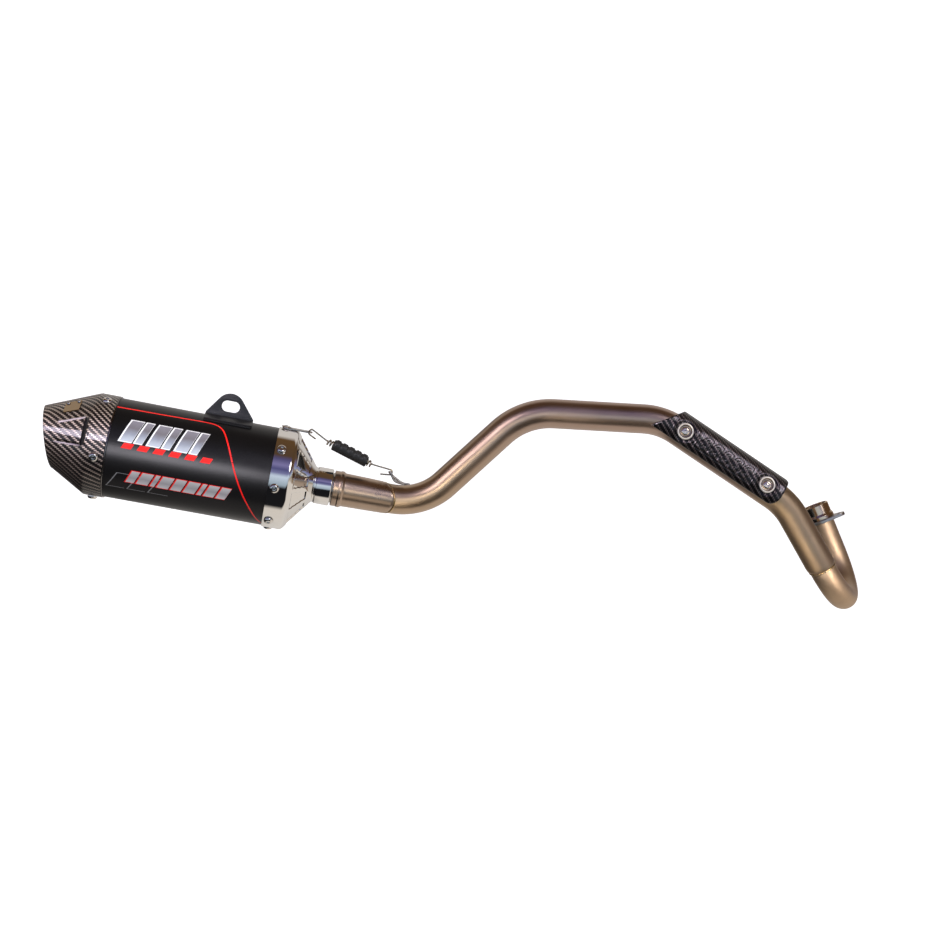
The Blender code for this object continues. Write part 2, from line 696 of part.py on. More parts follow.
def make_spring():
    wire("muffler_spring", spring_points(), WIRE_R, STEEL, MUFFLER)
    axis = COIL_FRONT - COIL_REAR
    holder = empty("spring_axis", Vector((0, 0, 0)), Matrix.Identity(3))
    holder.parent = MUFFLER
    holder.matrix_world = MUFFLER.matrix_world @ (
        Matrix.Translation(COIL_REAR * MM) @ frame_of(-axis, Vector((1, 0, 0))).to_4x4()
    )
    bpy.context.view_layer.update()
    low, high = [(station - COIL_REAR.z) * axis.length / axis.z for station in SLEEVE_Z]
    profile = tube_profile(SLEEVE_R, SLEEVE_R - SLEEVE_BORE_R, -high, -low)
    ring("spring_sleeve", profile, RUBBER, holder, 18)


def shield_frame():
    """+X along the pipe's straight run, +Z towards the rider's right side."""
    along = (DOWN_CORNER - FRONT_CORNER).normalized()
    right = Vector((0, -1, 0))
    rotation = Matrix((along, right.cross(along), right)).transposed()
    return empty("shield_axis", FRONT_CORNER, rotation)


def make_heat_shield():
    holder = shield_frame()
    bpy.context.view_layer.update()
    shape = bmesh.new()
    bmesh.ops.create_grid(shape, x_segments=12, y_segments=14, size=0.5)
    for vertex in shape.verts:
        across, along = vertex.co.y + 0.5, vertex.co.x + 0.5
        angle = SHIELD_ARC[0] + (SHIELD_ARC[1] - SHIELD_ARC[0]) * across
        height = math.sin(min(angle, math.pi / 2))
        lowest = math.sin(SHIELD_ARC[0])
        start = SHIELD_START[0] + (SHIELD_START[1] - SHIELD_START[0]) * (height - lowest) / (1 - lowest)
        edge = max(0, abs(2 * across - 1) - 0.45) / 0.55
        end = SHIELD_END - 9.0 * (1 - math.sqrt(1 - min(1, edge) ** 2))
        x = start + (end - start) * along
        vertex.co = Vector((x, SHIELD_R * math.sin(angle), SHIELD_R * math.cos(angle))) * MM
    mesh = bpy.data.meshes.new("heat_shield")
    shape.to_mesh(mesh)
    shape.free()
    shield = add("heat_shield", mesh, CARBON, holder)
    face = mesh.polygons[0]
    outward = face.normal.dot(face.center * Vector((0, 1, 1))) > 0
    skin = shield.modifiers.new("thickness", "SOLIDIFY")
    skin.thickness = SHIELD_WALL * MM
    skin.offset = -1 if outward else 1
    shield = realised(shield)
    places = []
    for index, (station, tilt) in enumerate(SHIELD_SCREWS, 1):
        place = Matrix.Translation((station * MM, 0, 0)) @ Matrix.Rotation(-tilt, 4, "X")
        places.append(place)
        cutter = rod(f"shield_hole_{index}", 3.0, 15, 25, 10, holder)
        cutter.matrix_basis = place
        combine(shield, cutter)
        boss = [(5.0, 17.1), (5.0, MID_R + GAP), (2.6, MID_R + GAP), (2.6, 17.1)]
        boss = ring(f"shield_boss_{index}", boss, TITANIUM, holder, 14)
        boss.matrix_basis = place
        seat = SHIELD_R + GAP
        cup = [
            (5.6, seat + 1.6), (8.0, seat + 0.5), (8.0, seat), (2.8, seat), (2.8, seat + 0.6),
            (5.2, seat + 0.9),
        ]
        cup = ring(f"cup_washer_{index}", cup, POLISHED, holder, 24)
        cup.matrix_basis = place
    smooth(shield.data)
    profile = screw_profile(4.6, 2.4, 1.8, 2.3, 5.2)
    raised = Matrix.Translation((0, 0, (SHIELD_R + 2 * GAP + 0.9) * MM))
    repeat_screws("shield_screw", profile, [place @ raised for place in places], POLISHED, holder)


make_mid_pipe()
make_header_pipe()
make_port_collar()
make_flange()
make_slip_bell()
make_weld_beads()
make_spring_bail()
make_can()
make_inlet_cap()
make_core()
make_inner_tubes()
make_end_ring()
make_tail_cap()
make_cap_screws()
make_spring_tab()
make_hanger()
make_badge()
make_spring()
make_heat_shield()
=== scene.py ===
"""Looks of a small motorcycle's exhaust: header, bent mid pipe with heat shield, slip-on muffler.

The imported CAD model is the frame. Pieces are modelled in millimetres in one of three frames and scaled to
metres: the muffler's frame (+Z along the can towards the tail, +X to the rider's right, +Y up, origin at
the slip joint), the shield's frame (+X along the pipe, +Z to the rider's right) and the port's frame (+Z
into the engine). Angles round the muffler count from +X towards +Y.
"""

import json
import math

import bmesh
import bpy
import numpy as np
from mathutils import Matrix, Vector


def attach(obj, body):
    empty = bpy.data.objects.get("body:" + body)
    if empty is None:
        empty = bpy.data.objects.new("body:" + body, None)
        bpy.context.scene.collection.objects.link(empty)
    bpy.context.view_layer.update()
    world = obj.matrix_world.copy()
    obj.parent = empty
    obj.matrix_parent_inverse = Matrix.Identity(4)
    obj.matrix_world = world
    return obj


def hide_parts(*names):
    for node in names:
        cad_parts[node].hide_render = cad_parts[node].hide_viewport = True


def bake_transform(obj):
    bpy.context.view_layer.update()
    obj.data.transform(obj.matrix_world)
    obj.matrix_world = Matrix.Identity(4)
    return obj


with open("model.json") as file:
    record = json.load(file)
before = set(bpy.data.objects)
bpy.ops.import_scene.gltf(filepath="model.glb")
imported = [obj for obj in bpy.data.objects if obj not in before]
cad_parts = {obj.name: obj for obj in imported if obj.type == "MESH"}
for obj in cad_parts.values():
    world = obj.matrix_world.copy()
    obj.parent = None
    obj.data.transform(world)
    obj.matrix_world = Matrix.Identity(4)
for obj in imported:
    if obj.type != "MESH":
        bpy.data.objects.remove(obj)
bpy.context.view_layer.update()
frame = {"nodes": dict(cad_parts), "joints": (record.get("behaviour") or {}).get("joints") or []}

MM = 0.001
NODES = frame["nodes"]
JOINTS = {joint["name"]: joint for joint in frame["joints"]}

# Pipe route in the CAD's own frame: corners of the bent tubes, and the radius of each bend.
SLIP_TO_CORNER = 33.0
PIPE_CORNERS = [
    Vector(corner) for corner in (
        (-398.9, -72.0, 4.3), (-300.2, -72.0, 93.9), (-166.4, -72.0, 86.2),
        (-45.7, -72.0, 4.8), (-11.4, -72.0, -56.4),
    )
]
LOOP_CORNERS = [Vector((6.0, -72.0, -87.2)), Vector((35.3, 0.0, -87.2))]
MID_BENDS = (60.0, 70.0, 64.0, 64.0)
HEADER_BEND = 38.0
MID_R = 28.575 / 2
HEADER_R = 25.4 / 2
BEND_STEP = math.radians(3)
PIPE_WALL = 1.2
HEADER_TOP = -13.9

# Muffler stations and radii.
SPIGOT_MIDDLE = 55.0
SPIGOT_R = 14.45
CAN_R = 47.2
SKIRT_R = 48.4
CAN_ENDS = (99.0, 264.1)
NECK_Z = 56.2
TAIL_SKIRT_Z = 265.4
TAIL_SHOULDER_Z = 282.7
CONE_SLOPE = 0.50
CONE_RISE = 0.0757
OUTLET_MIDDLE = 324.53
OUTLET_LEAN = 0.2805
CAP_WALL = 2.2

SCREW_HEAD_R = 4.5
SCREW_HEAD_H = 2.6


# ---------------------------------------------------------------- frames

def frame_of(origin, z_axis, near_x):
    """A frame at origin, in metres, whose +Z is z_axis and whose +X is as close to near_x as it can be."""
    z_axis = Vector(z_axis).normalized()
    near_x = Vector(near_x)
    x_axis = (near_x - near_x.dot(z_axis) * z_axis).normalized()
    rotation = Matrix((x_axis, z_axis.cross(x_axis), z_axis)).transposed()
    return Matrix.Translation(origin) @ rotation.to_4x4()


def node_points(name):
    """The corners of a CAD node's mesh, in metres."""
    mesh = NODES[name].data
    points = np.empty(len(mesh.vertices) * 3)
    mesh.vertices.foreach_get("co", points)
    return points.reshape(-1, 3)


def muffler_frame():
    """Its axis is the slip joint's, and the plain inlet tube is centred on it."""
    axis = Vector(JOINTS["muffler_slip"]["axis"]).normalized()
    middle = Vector(node_points("inlet_spigot").mean(0))
    return frame_of(middle - axis * SPIGOT_MIDDLE * MM, axis, (0, -1, 0))


MUFFLER = muffler_frame()
PORT = frame_of((0, 0, 0), JOINTS["flange_swivel"]["axis"], (1, 0, 0))
SHIELD_ALONG = (PIPE_CORNERS[3] - PIPE_CORNERS[2]).normalized()
SHIELD = Matrix.Translation(PIPE_CORNERS[2] * MM) @ Matrix((
    SHIELD_ALONG, Vector((0, -1, 0)).cross(SHIELD_ALONG), Vector((0, -1, 0)),
)).transposed().to_4x4()
WHOLE = Matrix.Identity(4)


# ---------------------------------------------------------------- mesh helpers

def finish_mesh(name, shape, material, place, body, degrees=35):
    """Turns a bmesh in millimetres into a smooth-shaded piece that rides on a body."""
    bmesh.ops.remove_doubles(shape, verts=shape.verts, dist=1e-4)
    bmesh.ops.recalc_face_normals(shape, faces=shape.faces)
    bmesh.ops.scale(shape, vec=(MM, MM, MM), verts=shape.verts)
    mesh = bpy.data.meshes.new(name)
    shape.to_mesh(mesh)
    shape.free()
    mesh.shade_smooth()
    mesh.set_sharp_from_angle(angle=math.radians(degrees))
    mesh.materials.append(material)
    obj = bpy.data.objects.new(name, mesh)
    bpy.context.scene.collection.objects.link(obj)
    obj.matrix_world = place
    if body:
        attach(obj, body)
    return obj


def add_grid(shape, rows, close_rows=False, close_columns=False):
    """A surface through rows of points."""
    made = [[shape.verts.new(point) for point in row] for row in rows]
    last_row = len(made) if close_rows else len(made) - 1
    count = len(made[0])
    last_column = count if close_columns else count - 1
    for i in range(last_row):
        upper, lower = made[i], made[(i + 1) % len(made)]
        for j in range(last_column):
            k = (j + 1) % count
            shape.faces.new((upper[j], upper[k], lower[k], lower[j]))
    return made


def rounded(points, radius, steps=4, closed=True):
    """The outline with its corners turned into arcs, where the sides leave room for them."""
    points = [Vector(point) for point in points]
    result = []
    for index, corner in enumerate(points):
        if not closed and index in (0, len(points) - 1):
            result.append(corner)
            continue
        before, after = points[index - 1], points[(index + 1) % len(points)]
        arriving, leaving = corner - before, after - corner
        turn = arriving.angle(leaving)
        if turn < math.radians(8):
            result.append(corner)
            continue
        reach = min(radius * math.tan(turn / 2), arriving.length * 0.45, leaving.length * 0.45)
        start = corner - arriving.normalized() * reach
        end = corner + leaving.normalized() * reach
        for step in range(steps + 1):
            t = step / steps
            result.append(start * (1 - t) ** 2 + corner * 2 * t * (1 - t) + end * t ** 2)
    return result


def lathe(name, profile, material, place, body, steps=128, fillet=0.3, closed=True,
          offset=None, shift=None):
    """A profile of (radius, station) turned round Z.

    offset and shift take (angle, radius, station) and move a point outwards and along Z.
    """
    outline = rounded(profile, fillet, closed=closed) if fillet else [Vector(p) for p in profile]
    shape = bmesh.new()
    rows = []
    for radius, station in outline:
        row = []
        for index in range(steps):
            angle = 2 * math.pi * index / steps
            r = radius + (offset(angle, radius, station) if offset else 0)
            z = station + (shift(angle, radius, station) if shift else 0)
            row.append((r * math.cos(angle), r * math.sin(angle), z))
        rows.append(row)
    add_grid(shape, rows, close_rows=closed, close_columns=True)
    return finish_mesh(name, shape, material, place, body)


def bent_route(corners, bends):
    """(point, direction) along straight runs joined by arcs, one arc for each corner between the ends."""
    first = (corners[1] - corners[0]).normalized()
    route = [(corners[0], first)]
    leaving = first
    for before, corner, after, bend in zip(corners, corners[1:], corners[2:], bends):
        arriving = (corner - before).normalized()
        leaving = (after - corner).normalized()
        turn = arriving.angle(leaving)
        start = corner - arriving * bend * math.tan(turn / 2)
        inward = (leaving - arriving * arriving.dot(leaving)).normalized()
        steps = max(2, round(turn / BEND_STEP))
        for index in range(steps + 1):
            angle = turn * index / steps
            run = arriving * math.sin(angle) + inward * (1 - math.cos(angle))
            route.append((start + run * bend, arriving * math.cos(angle) + inward * math.sin(angle)))
    route.append((corners[-1], leaving))
    return route


def tube(name, route, radii, material, place, body, sides=64):
    """Rings of points along a route, each ring with its own radius, left open at the ends."""
    shape = bmesh.new()
    side = route[0][1].orthogonal().normalized()
    rows = []
    for (point, ahead), radius in zip(route, radii):
        side = (side - side.dot(ahead) * ahead).normalized()
        up = ahead.cross(side)
        angles = [2 * math.pi * index / sides for index in range(sides)]
        rows.append([point + (side * math.cos(a) + up * math.sin(a)) * radius for a in angles])
    add_grid(shape, rows, close_columns=True)
    return finish_mesh(name, shape, material, place, body)


def wire_route(points):
    """(point, direction) for a wire through these points, rounded by a Catmull-Rom spline."""
    points = [Vector(point) for point in points]
    padded = [points[0] * 2 - points[1], *points, points[-1] * 2 - points[-2]]
    steps = 4
    smooth = []
    for a, b, c, d in zip(padded, padded[1:], padded[2:], padded[3:]):
        for step in range(steps):
            t = step / steps
            smooth.append(0.5 * (
                2 * b + (c - a) * t + (2 * a - 5 * b + 4 * c - d) * t * t + (3 * b - a - 3 * c + d) * t ** 3
            ))
    smooth.append(points[-1])
    route = []
    for index, point in enumerate(smooth):
        before, after = smooth[max(index - 1, 0)], smooth[min(index + 1, len(smooth) - 1)]
        route.append((point, (after - before).normalized()))
    return route


def wire(name, points, radius, material, place, body, sides=12):
    """A round wire with domed ends."""
    route = wire_route(points)
    radii = [radius] * len(route)
    ends = []
    for (point, ahead), sign in ((route[0], -1), (route[-1], 1)):
        cap = [(point + ahead * sign * radius * math.sin(a), ahead, radius * math.cos(a))
               for a in (math.radians(30), math.radians(60), math.radians(88))]
        ends.append(cap)
    start = [(point, ahead) for point, ahead, _ in reversed(ends[0])]
    end = [(point, ahead) for point, ahead, _ in ends[1]]
    radii = [r for *_, r in reversed(ends[0])] + radii + [r for *_, r in ends[1]]
    return tube(name, start + route + end, radii, material, place, body, sides)


def plate(name, outlines, thickness, edge, material, place, body):
    """A flat plate with rounded edges, from outlines in the place's XY plane."""
    curve = bpy.data.curves.new(name, "CURVE")
    curve.dimensions = "2D"
    curve.fill_mode = "BOTH"
    curve.extrude = (thickness / 2 - edge) * MM
    curve.bevel_depth = edge * MM
    curve.bevel_resolution = 2
    curve.offset = -edge * MM
    for outline in outlines:
        spline = curve.splines.new("POLY")
        spline.points.add(len(outline) - 1)
        for point, (x, y) in zip(spline.points, outline):
            point.co = (x * MM, y * MM, 0, 1)
        spline.use_cyclic_u = True
    source = bpy.data.objects.new(name + "_outline", curve)
    bpy.context.scene.collection.objects.link(source)
    bpy.context.view_layer.update()
    graph = bpy.context.evaluated_depsgraph_get()
    mesh = bpy.data.meshes.new_from_object(source.evaluated_get(graph))
    bpy.data.objects.remove(source)
    shape = bmesh.new()
    shape.from_mesh(mesh)
    bpy.data.meshes.remove(mesh)
    bmesh.ops.scale(shape, vec=(1 / MM,) * 3, verts=shape.verts)
    return finish_mesh(name, shape, material, place, body, 30)


def arc(centre, radius, count, start, turn):
    angles = [start + turn * index / (count - 1) for index in range(count)]
    return [(centre[0] + radius * math.cos(a), centre[1] + radius * math.sin(a)) for a in angles]


def ring_of(centre, radius, count):
    return arc(centre, radius, count + 1, 0, 2 * math.pi)[:-1]


def ease(value, low, high):
    """0 below low, 1 above high, smooth in between."""
    t = min(1.0, max(0.0, (value - low) / (high - low)))
    return t * t * (3 - 2 * t)


def within(value, low, high, edge):
    """1 inside the span and 0 outside it, with edges this wide."""
    return ease(value, low - edge, low) * (1 - ease(value, high, high + edge))


# ---------------------------------------------------------------- materials

class Tree:
    """Builds the nodes of a material round its Principled shader, or those of a world."""

    def __init__(self, name, world=False):
        self.material = (bpy.data.worlds if world else bpy.data.materials).new(name)
        self.material.use_nodes = True
        self.nodes = self.material.node_tree.nodes
        self.links = self.material.node_tree.links
        self.shader = self.nodes["Background" if world else "Principled BSDF"]
        self.place = self.add("ShaderNodeTexCoord").outputs["Generated" if world else "Object"]

    def put(self, socket, value):
        if isinstance(value, bpy.types.NodeSocket):
            self.links.new(value, socket)
        else:
            socket.default_value = value

    def add(self, kind, inputs=None, **settings):
        node = self.nodes.new(kind)
        for key, value in settings.items():
            setattr(node, key, value)
        for key, value in (inputs or {}).items():
            self.put(node.inputs[key], value)
        return node

    def set(self, **values):
        for key, value in values.items():
            self.put(self.shader.inputs[key.replace("_", " ")], value)

    def math(self, operation, first, second=0.0):
        node = self.add("ShaderNodeMath", {0: first, 1: second}, operation=operation)
        return node.outputs[0]

    def plus(self, first, second):
        return self.math("ADD", first, second)

    def minus(self, first, second):
        return self.math("SUBTRACT", first, second)

    def times(self, first, second):
        return self.math("MULTIPLY", first, second)

    def xyz(self):
        return self.add("ShaderNodeSeparateXYZ", {0: self.place}).outputs

    def noise(self, scale, detail=3.0, stretch=(1, 1, 1), roughness=0.5):
        mapping = self.add("ShaderNodeMapping", {"Vector": self.place, "Scale": stretch})
        inputs = {
            "Vector": mapping.outputs[0], "Scale": scale, "Detail": detail, "Roughness": roughness,
        }
        return self.add("ShaderNodeTexNoise", inputs).outputs[0]

    def range(self, value, low, high, start=0.0, end=1.0):
        inputs = {"Value": value, "From Min": start, "From Max": end, "To Min": low, "To Max": high}
        return self.add("ShaderNodeMapRange", inputs).outputs[0]

    def mix(self, factor, first, second):
        inputs = {"Factor": factor, 6: (*first, 1) if isinstance(first, tuple) else first,
                  7: (*second, 1) if isinstance(second, tuple) else second}
        return self.add("ShaderNodeMix", inputs, data_type="RGBA").outputs[2]

    def ramp(self, factor, stops):
        node = self.add("ShaderNodeValToRGB", {"Fac": factor})
        elements = node.color_ramp.elements
        while len(elements) < len(stops):
            elements.new(0.5)
        for element, (position, colour) in zip(elements, stops):
            element.position = position
            element.color = (*colour, 1)
        return node.outputs[0]

    def bump(self, height, strength, distance, normal=None):
        inputs = {"Height": height, "Strength": strength, "Distance": distance}
        if normal:
            inputs["Normal"] = normal
        return self.add("ShaderNodeBump", inputs).outputs[0]


def titanium(name, roughness, along_row):
    """Satin bronze-tinted tube: tint that drifts along the pipe, cloudy oxide, faint fine grain."""
    tree = Tree(name)
    cloud = tree.noise(18, 4, roughness=0.6)
    grain = tree.noise(700, 2)
    if along_row:
        wander = tree.plus(tree.xyz()[0], tree.range(cloud, -0.03, 0.03))
        way = tree.range(wander, 0.0, 1.0, -0.44, 0.04)
        tint = tree.ramp(way, (
            (0.0, (0.47, 0.345, 0.235)), (0.14, (0.46, 0.34, 0.24)), (0.30, (0.42, 0.31, 0.25)),
            (0.70, (0.41, 0.30, 0.245)), (0.80, (0.46, 0.335, 0.215)), (1.0, (0.44, 0.32, 0.215)),
        ))
    else:
        way = None
        tint = tree.mix(cloud, (0.43, 0.325, 0.26), (0.48, 0.36, 0.26))
    base = tree.range(cloud, roughness - 0.03, roughness + 0.04, 0.35, 0.65)
    grime = tree.range(tree.noise(75, 5, roughness=0.7), 0, 0.5, 0.5, 0.85)
    tree.set(
        Base_Color=tree.mix(grime, tint, (0.33, 0.25, 0.19)),
        Metallic=1.0,
        Roughness=tree.plus(base, tree.range(way, 0, 0.2, 0.72, 0.82)) if way else base,
        Normal=tree.bump(grain, 0.04, 0.0002),
    )
    return tree.material


def polished(name, colour, roughness):
    """Mirror polish with faint buffing swirls and a few fine scratches."""
    tree = Tree(name)
    swirl = tree.noise(60, 4, (1, 1, 0.25), 0.65)
    scratch = tree.noise(900, 2, (1, 0.04, 1))
    lines = tree.range(scratch, 0, 1, 0.66, 0.72)
    tree.set(
        Base_Color=tree.mix(tree.range(swirl, 0, 0.35), colour, tuple(value * 0.86 for value in colour)),
        Metallic=1.0,
        Roughness=tree.plus(tree.range(swirl, roughness, roughness + 0.05, 0.35, 0.7),
                            tree.times(lines, 0.06)),
        Normal=tree.bump(tree.plus(swirl, tree.times(lines, 0.1)), 0.03, 0.0006),
    )
    return tree.material


def turned(name, colour, roughness):
    """Bright turned metal, only partly metallic, so its pale colour shows all round as a painted highlight:
    fine rings and a slow tint.
    """
    tree = Tree(name)
    rings = tree.noise(1500, 2, (1, 1, 0.05))
    tint = tree.noise(150, 3)
    tree.set(
        Base_Color=tree.mix(tint, colour, tuple(value * 0.8 for value in colour)),
        Metallic=0.62,
        Roughness=tree.range(rings, roughness - 0.04, roughness + 0.06),
        Normal=tree.bump(rings, 0.05, 0.0002),
    )
    return tree.material


def black_can():
    """Satin black anodised sheet: fine grain with a slow sheen variation."""
    tree = Tree("black_anodised")
    grain = tree.noise(1300, 3, roughness=0.7)
    cloud = tree.noise(16, 3)
    tree.set(
        Base_Color=tree.mix(grain, (0.004, 0.004, 0.0045), (0.020, 0.019, 0.020)),
        Metallic=0.75,
        Roughness=tree.plus(tree.range(grain, -0.05, 0.05), tree.range(cloud, 0.29, 0.36)),
        Normal=tree.bump(grain, 0.12, 0.0002),
    )
    return tree.material


def twill(name, round_about, ahead, tow, lay, bright, metal):
    """Lacquered 2x2 twill, with painted light: the pale tows carry a painted sheen, the dark tows and the
    grooves between tows painted shade. round_about and ahead are lengths over the surface, lay turns the
    cloth.
    """
    tree = Tree(name)
    first, second = round_about(tree), ahead(tree)
    c, d = math.cos(lay) / (tow * MM), math.sin(lay) / (tow * MM)
    u = tree.plus(tree.times(first, c), tree.times(second, d))
    v = tree.minus(tree.times(second, c), tree.times(first, d))
    i, j = tree.math("FLOOR", u), tree.math("FLOOR", v)
    phase = tree.math("FLOORED_MODULO", tree.minus(i, j), 4.0)
    warp = tree.math("LESS_THAN", phase, 1.5)
    warp_float = tree.math("FLOORED_MODULO", tree.plus(tree.minus(v, i), 1.0), 4.0)
    weft_float = tree.math("FLOORED_MODULO", tree.minus(tree.minus(u, j), 2.0), 4.0)

    def dome(value, period):
        return tree.math("ABSOLUTE", tree.math("SINE", tree.times(value, math.pi / period)))

    warp_height = tree.times(dome(u, 1), dome(warp_float, 2))
    weft_height = tree.times(dome(v, 1), dome(weft_float, 2))
    height = tree.add("ShaderNodeMix", {"Factor": warp, 2: weft_height, 3: warp_height}).outputs[0]
    fibres = tree.noise(2600, 2)
    patchy = tree.range(tree.noise(45, 3), 0.55, 1.0, 0.35, 0.65)
    # Painted sheen: the pale colour of one set of tows stands in for the light they reflect, dimmed here and
    # there in random patches.
    light = tree.mix(fibres, tuple(value * 0.5 for value in bright), bright)
    light = tree.mix(patchy, (0.05, 0.045, 0.04), light)
    # Painted shade: the other set of tows is near black, a shaded copy of the same fibre.
    dark = tree.mix(fibres, (0.003, 0.003, 0.003), (0.012, 0.011, 0.011))
    colour = tree.mix(warp, dark, light)
    # Painted shade in the grooves between tows, where the tow height falls to nothing.
    shaded = tree.mix(tree.range(height, 0, 1, 0.05, 0.6), (0.002, 0.002, 0.002), colour)
    tree.set(
        Base_Color=shaded,
        Metallic=metal,
        Roughness=tree.range(fibres, 0.34, 0.48),
        Normal=tree.bump(height, 0.5, 0.0004),
        Coat_Weight=0.5,
        Coat_Roughness=0.06,
        Coat_Normal=tree.bump(tree.noise(70, 3), 0.12, 0.001),
    )
    return tree.material


def round_angle(tree):
    """The angle round the muffler's axis, in radians."""
    x, y, _ = tree.xyz()
    return tree.math("ARCTAN2", y, x)


def round_tail(tree):
    """The draped cloth shears a little, so its ribs steepen towards the top of the cone."""
    angle = round_angle(tree)
    past = tree.range(along_tail(tree), -0.010, 0.018, 0.265, 0.325)
    return tree.minus(tree.times(angle, SKIRT_R * MM),
                     tree.times(tree.math("SINE", angle), past))


def along_tail(tree):
    return tree.xyz()[2]


def round_shield(tree):
    _, y, z = tree.xyz()
    return tree.times(tree.math("ARCTAN2", y, z), SHIELD_R * MM)


def along_shield(tree):
    return tree.xyz()[0]


def coated(name, colour, roughness, grain, depth):
    """Powder coat or moulded rubber: orange-peel bumps and slight wear in the sheen."""
    tree = Tree(name)
    peel = tree.noise(grain, 3, roughness=0.6)
    wear = tree.noise(120, 4)
    tree.set(
        Base_Color=tree.mix(wear, colour, tuple(value * 2.2 for value in colour)),
        Roughness=tree.range(wear, roughness - 0.08, roughness + 0.1),
        Normal=tree.bump(peel, 0.5, depth),
    )
    return tree.material


def steel(name, colour, roughness, tint):
    """Bare steel or drawn wire with stains."""
    tree = Tree(name)
    stain = tree.noise(160, 5, roughness=0.7)
    grain = tree.noise(1500, 2)
    tree.set(
        Base_Color=tree.mix(tree.range(stain, 0, 1, 0.35, 0.75), colour, tint),
        Metallic=1.0,
        Roughness=tree.range(grain, roughness - 0.06, roughness + 0.08),
        Normal=tree.bump(grain, 0.1, 0.0002),
    )
    return tree.material


def weld():
    """Straw and blue heat tint along the ripples of a bead."""
    tree = Tree("weld_bead")
    tint = tree.ramp(tree.noise(130, 3), (
        (0.25, (0.14, 0.10, 0.07)), (0.45, (0.60, 0.42, 0.18)), (0.62, (0.42, 0.28, 0.16)),
        (0.80, (0.20, 0.16, 0.18)),
    ))
    grain = tree.noise(1200, 2)
    tree.set(Base_Color=tint, Metallic=1.0, Roughness=tree.range(grain, 0.18, 0.32),
             Normal=tree.bump(grain, 0.1, 0.0002))
    return tree.material


def print_ink(name, stops, low, high):
    """Printed film on the can, its tone ramped from one angle round the can to another: painted shade in the
    plain inks, and in the silver inks partly their printed gradient, partly a painted reflection.
    """
    tree = Tree(name)
    grain = tree.noise(1300, 3, roughness=0.7)
    # This ramp is the painted light and shade on the film.
    shade = tree.range(round_angle(tree), 0, 1, math.radians(low), math.radians(high))
    noisy = tree.plus(shade, tree.range(tree.noise(90, 3), -0.12, 0.12))
    tree.set(Base_Color=tree.ramp(noisy, stops), Metallic=0.15,
             Roughness=tree.range(grain, 0.3, 0.42), Normal=tree.bump(grain, 0.05, 0.0002))
    return tree.material


SHIELD_R = 19.6  # the heat shield's outer radius round the pipe
TITANIUM = titanium("satin_titanium", 0.31, True)
BELL_TITANIUM = titanium("bell_titanium", 0.29, False)
COLLAR_METAL = polished("warm_polish", (0.72, 0.57, 0.42), 0.15)
# Painted highlight: the washers' pale outer ring.
WASHER_RING_PAINTED_HIGHLIGHT = turned("washer_turned", (0.88, 0.80, 0.71), 0.22)
SOCKET_METAL = polished("socket_polish", (0.92, 0.80, 0.66), 0.12)
# Painted shade: the same washers' darker, browner cup.
CUP_PAINTED_SHADE = polished("cup_polish", (0.50, 0.42, 0.34), 0.16)
POLISHED = polished("mirror_polish", (0.80, 0.78, 0.75), 0.035)
# Painted reflection: the polished plate's brown tone stands in for the brown surroundings it mirrors.
BADGE_PAINTED_REFLECTION = polished("badge_bronze", (0.36, 0.26, 0.16), 0.06)
LIP_METAL = polished("lip_metal", (0.30, 0.28, 0.27), 0.22)
SCREW_METAL = polished("screw_polish", (0.74, 0.71, 0.67), 0.10)
BLACK_CAN = black_can()
TAIL_CARBON = twill("tail_twill", round_tail, along_tail, 1.7, math.radians(12),
                    (0.44, 0.37, 0.31), 0.82)
SHIELD_CARBON = twill("shield_twill", round_shield, along_shield, 1.6, math.radians(70),
                      (0.17, 0.14, 0.13), 0.92)
# Painted highlight: a pale lavender-grey laid along the scoop's edges as the lines of light they catch.
EDGE_PAINTED_HIGHLIGHT = coated("edge_resin", (0.07, 0.062, 0.072), 0.32, 500, 0.0002)
# Painted shade: near black on the faces of the scoop's mouth, where the vent lies in shade.
MOUTH_PAINTED_SHADE = coated("mouth_black", (0.003, 0.003, 0.003), 0.6, 900, 0.0002)
POWDER = coated("black_powder_coat", (0.005, 0.005, 0.0055), 0.33, 900, 0.0003)
RUBBER = coated("moulded_rubber", (0.008, 0.008, 0.008), 0.5, 1400, 0.0003)
STEEL = steel("plain_steel", (0.50, 0.48, 0.45), 0.30, (0.36, 0.31, 0.26))
SOOTY = steel("sooty_steel", (0.16, 0.14, 0.13), 0.42, (0.04, 0.036, 0.034))
SPRING_WIRE = steel("spring_wire", (0.46, 0.43, 0.38), 0.26, (0.50, 0.40, 0.22))
WELD = weld()
# Painted shade: the red, white and faint inks darken towards the lower angle of their span.
RED_INK = print_ink("red_ink", ((0.0, (0.80, 0.012, 0.010)), (1.0, (0.95, 0.018, 0.014))), -70, 56)
WHITE_INK = print_ink("white_ink", ((0.0, (0.78, 0.80, 0.84)), (1.0, (0.88, 0.88, 0.90))), -40, 40)
# Partly printed gradient, partly painted reflection: pale and bluish low down, blue-grey, then brownish grey
# towards the top.
SILVER_INK = print_ink("silver_ink", (
    (0.0, (0.52, 0.57, 0.66)), (0.35, (0.25, 0.27, 0.33)), (0.6, (0.16, 0.15, 0.17)),
    (1.0, (0.24, 0.23, 0.27)),
), 9, 38)
# Partly printed, partly painted reflection: lighter at both edges of its span, darker in the middle.
LOWER_INK = print_ink("lower_silver_ink", (
    (0.0, (0.60, 0.58, 0.60)), (0.5, (0.30, 0.29, 0.31)), (1.0, (0.48, 0.47, 0.48)),
), -38, -21)
FAINT_INK = print_ink("faint_grey_ink", ((0.0, (0.16, 0.16, 0.17)), (1.0, (0.22, 0.22, 0.23))), -50, 0)


# ---------------------------------------------------------------- pipes

MITRE = 0.25


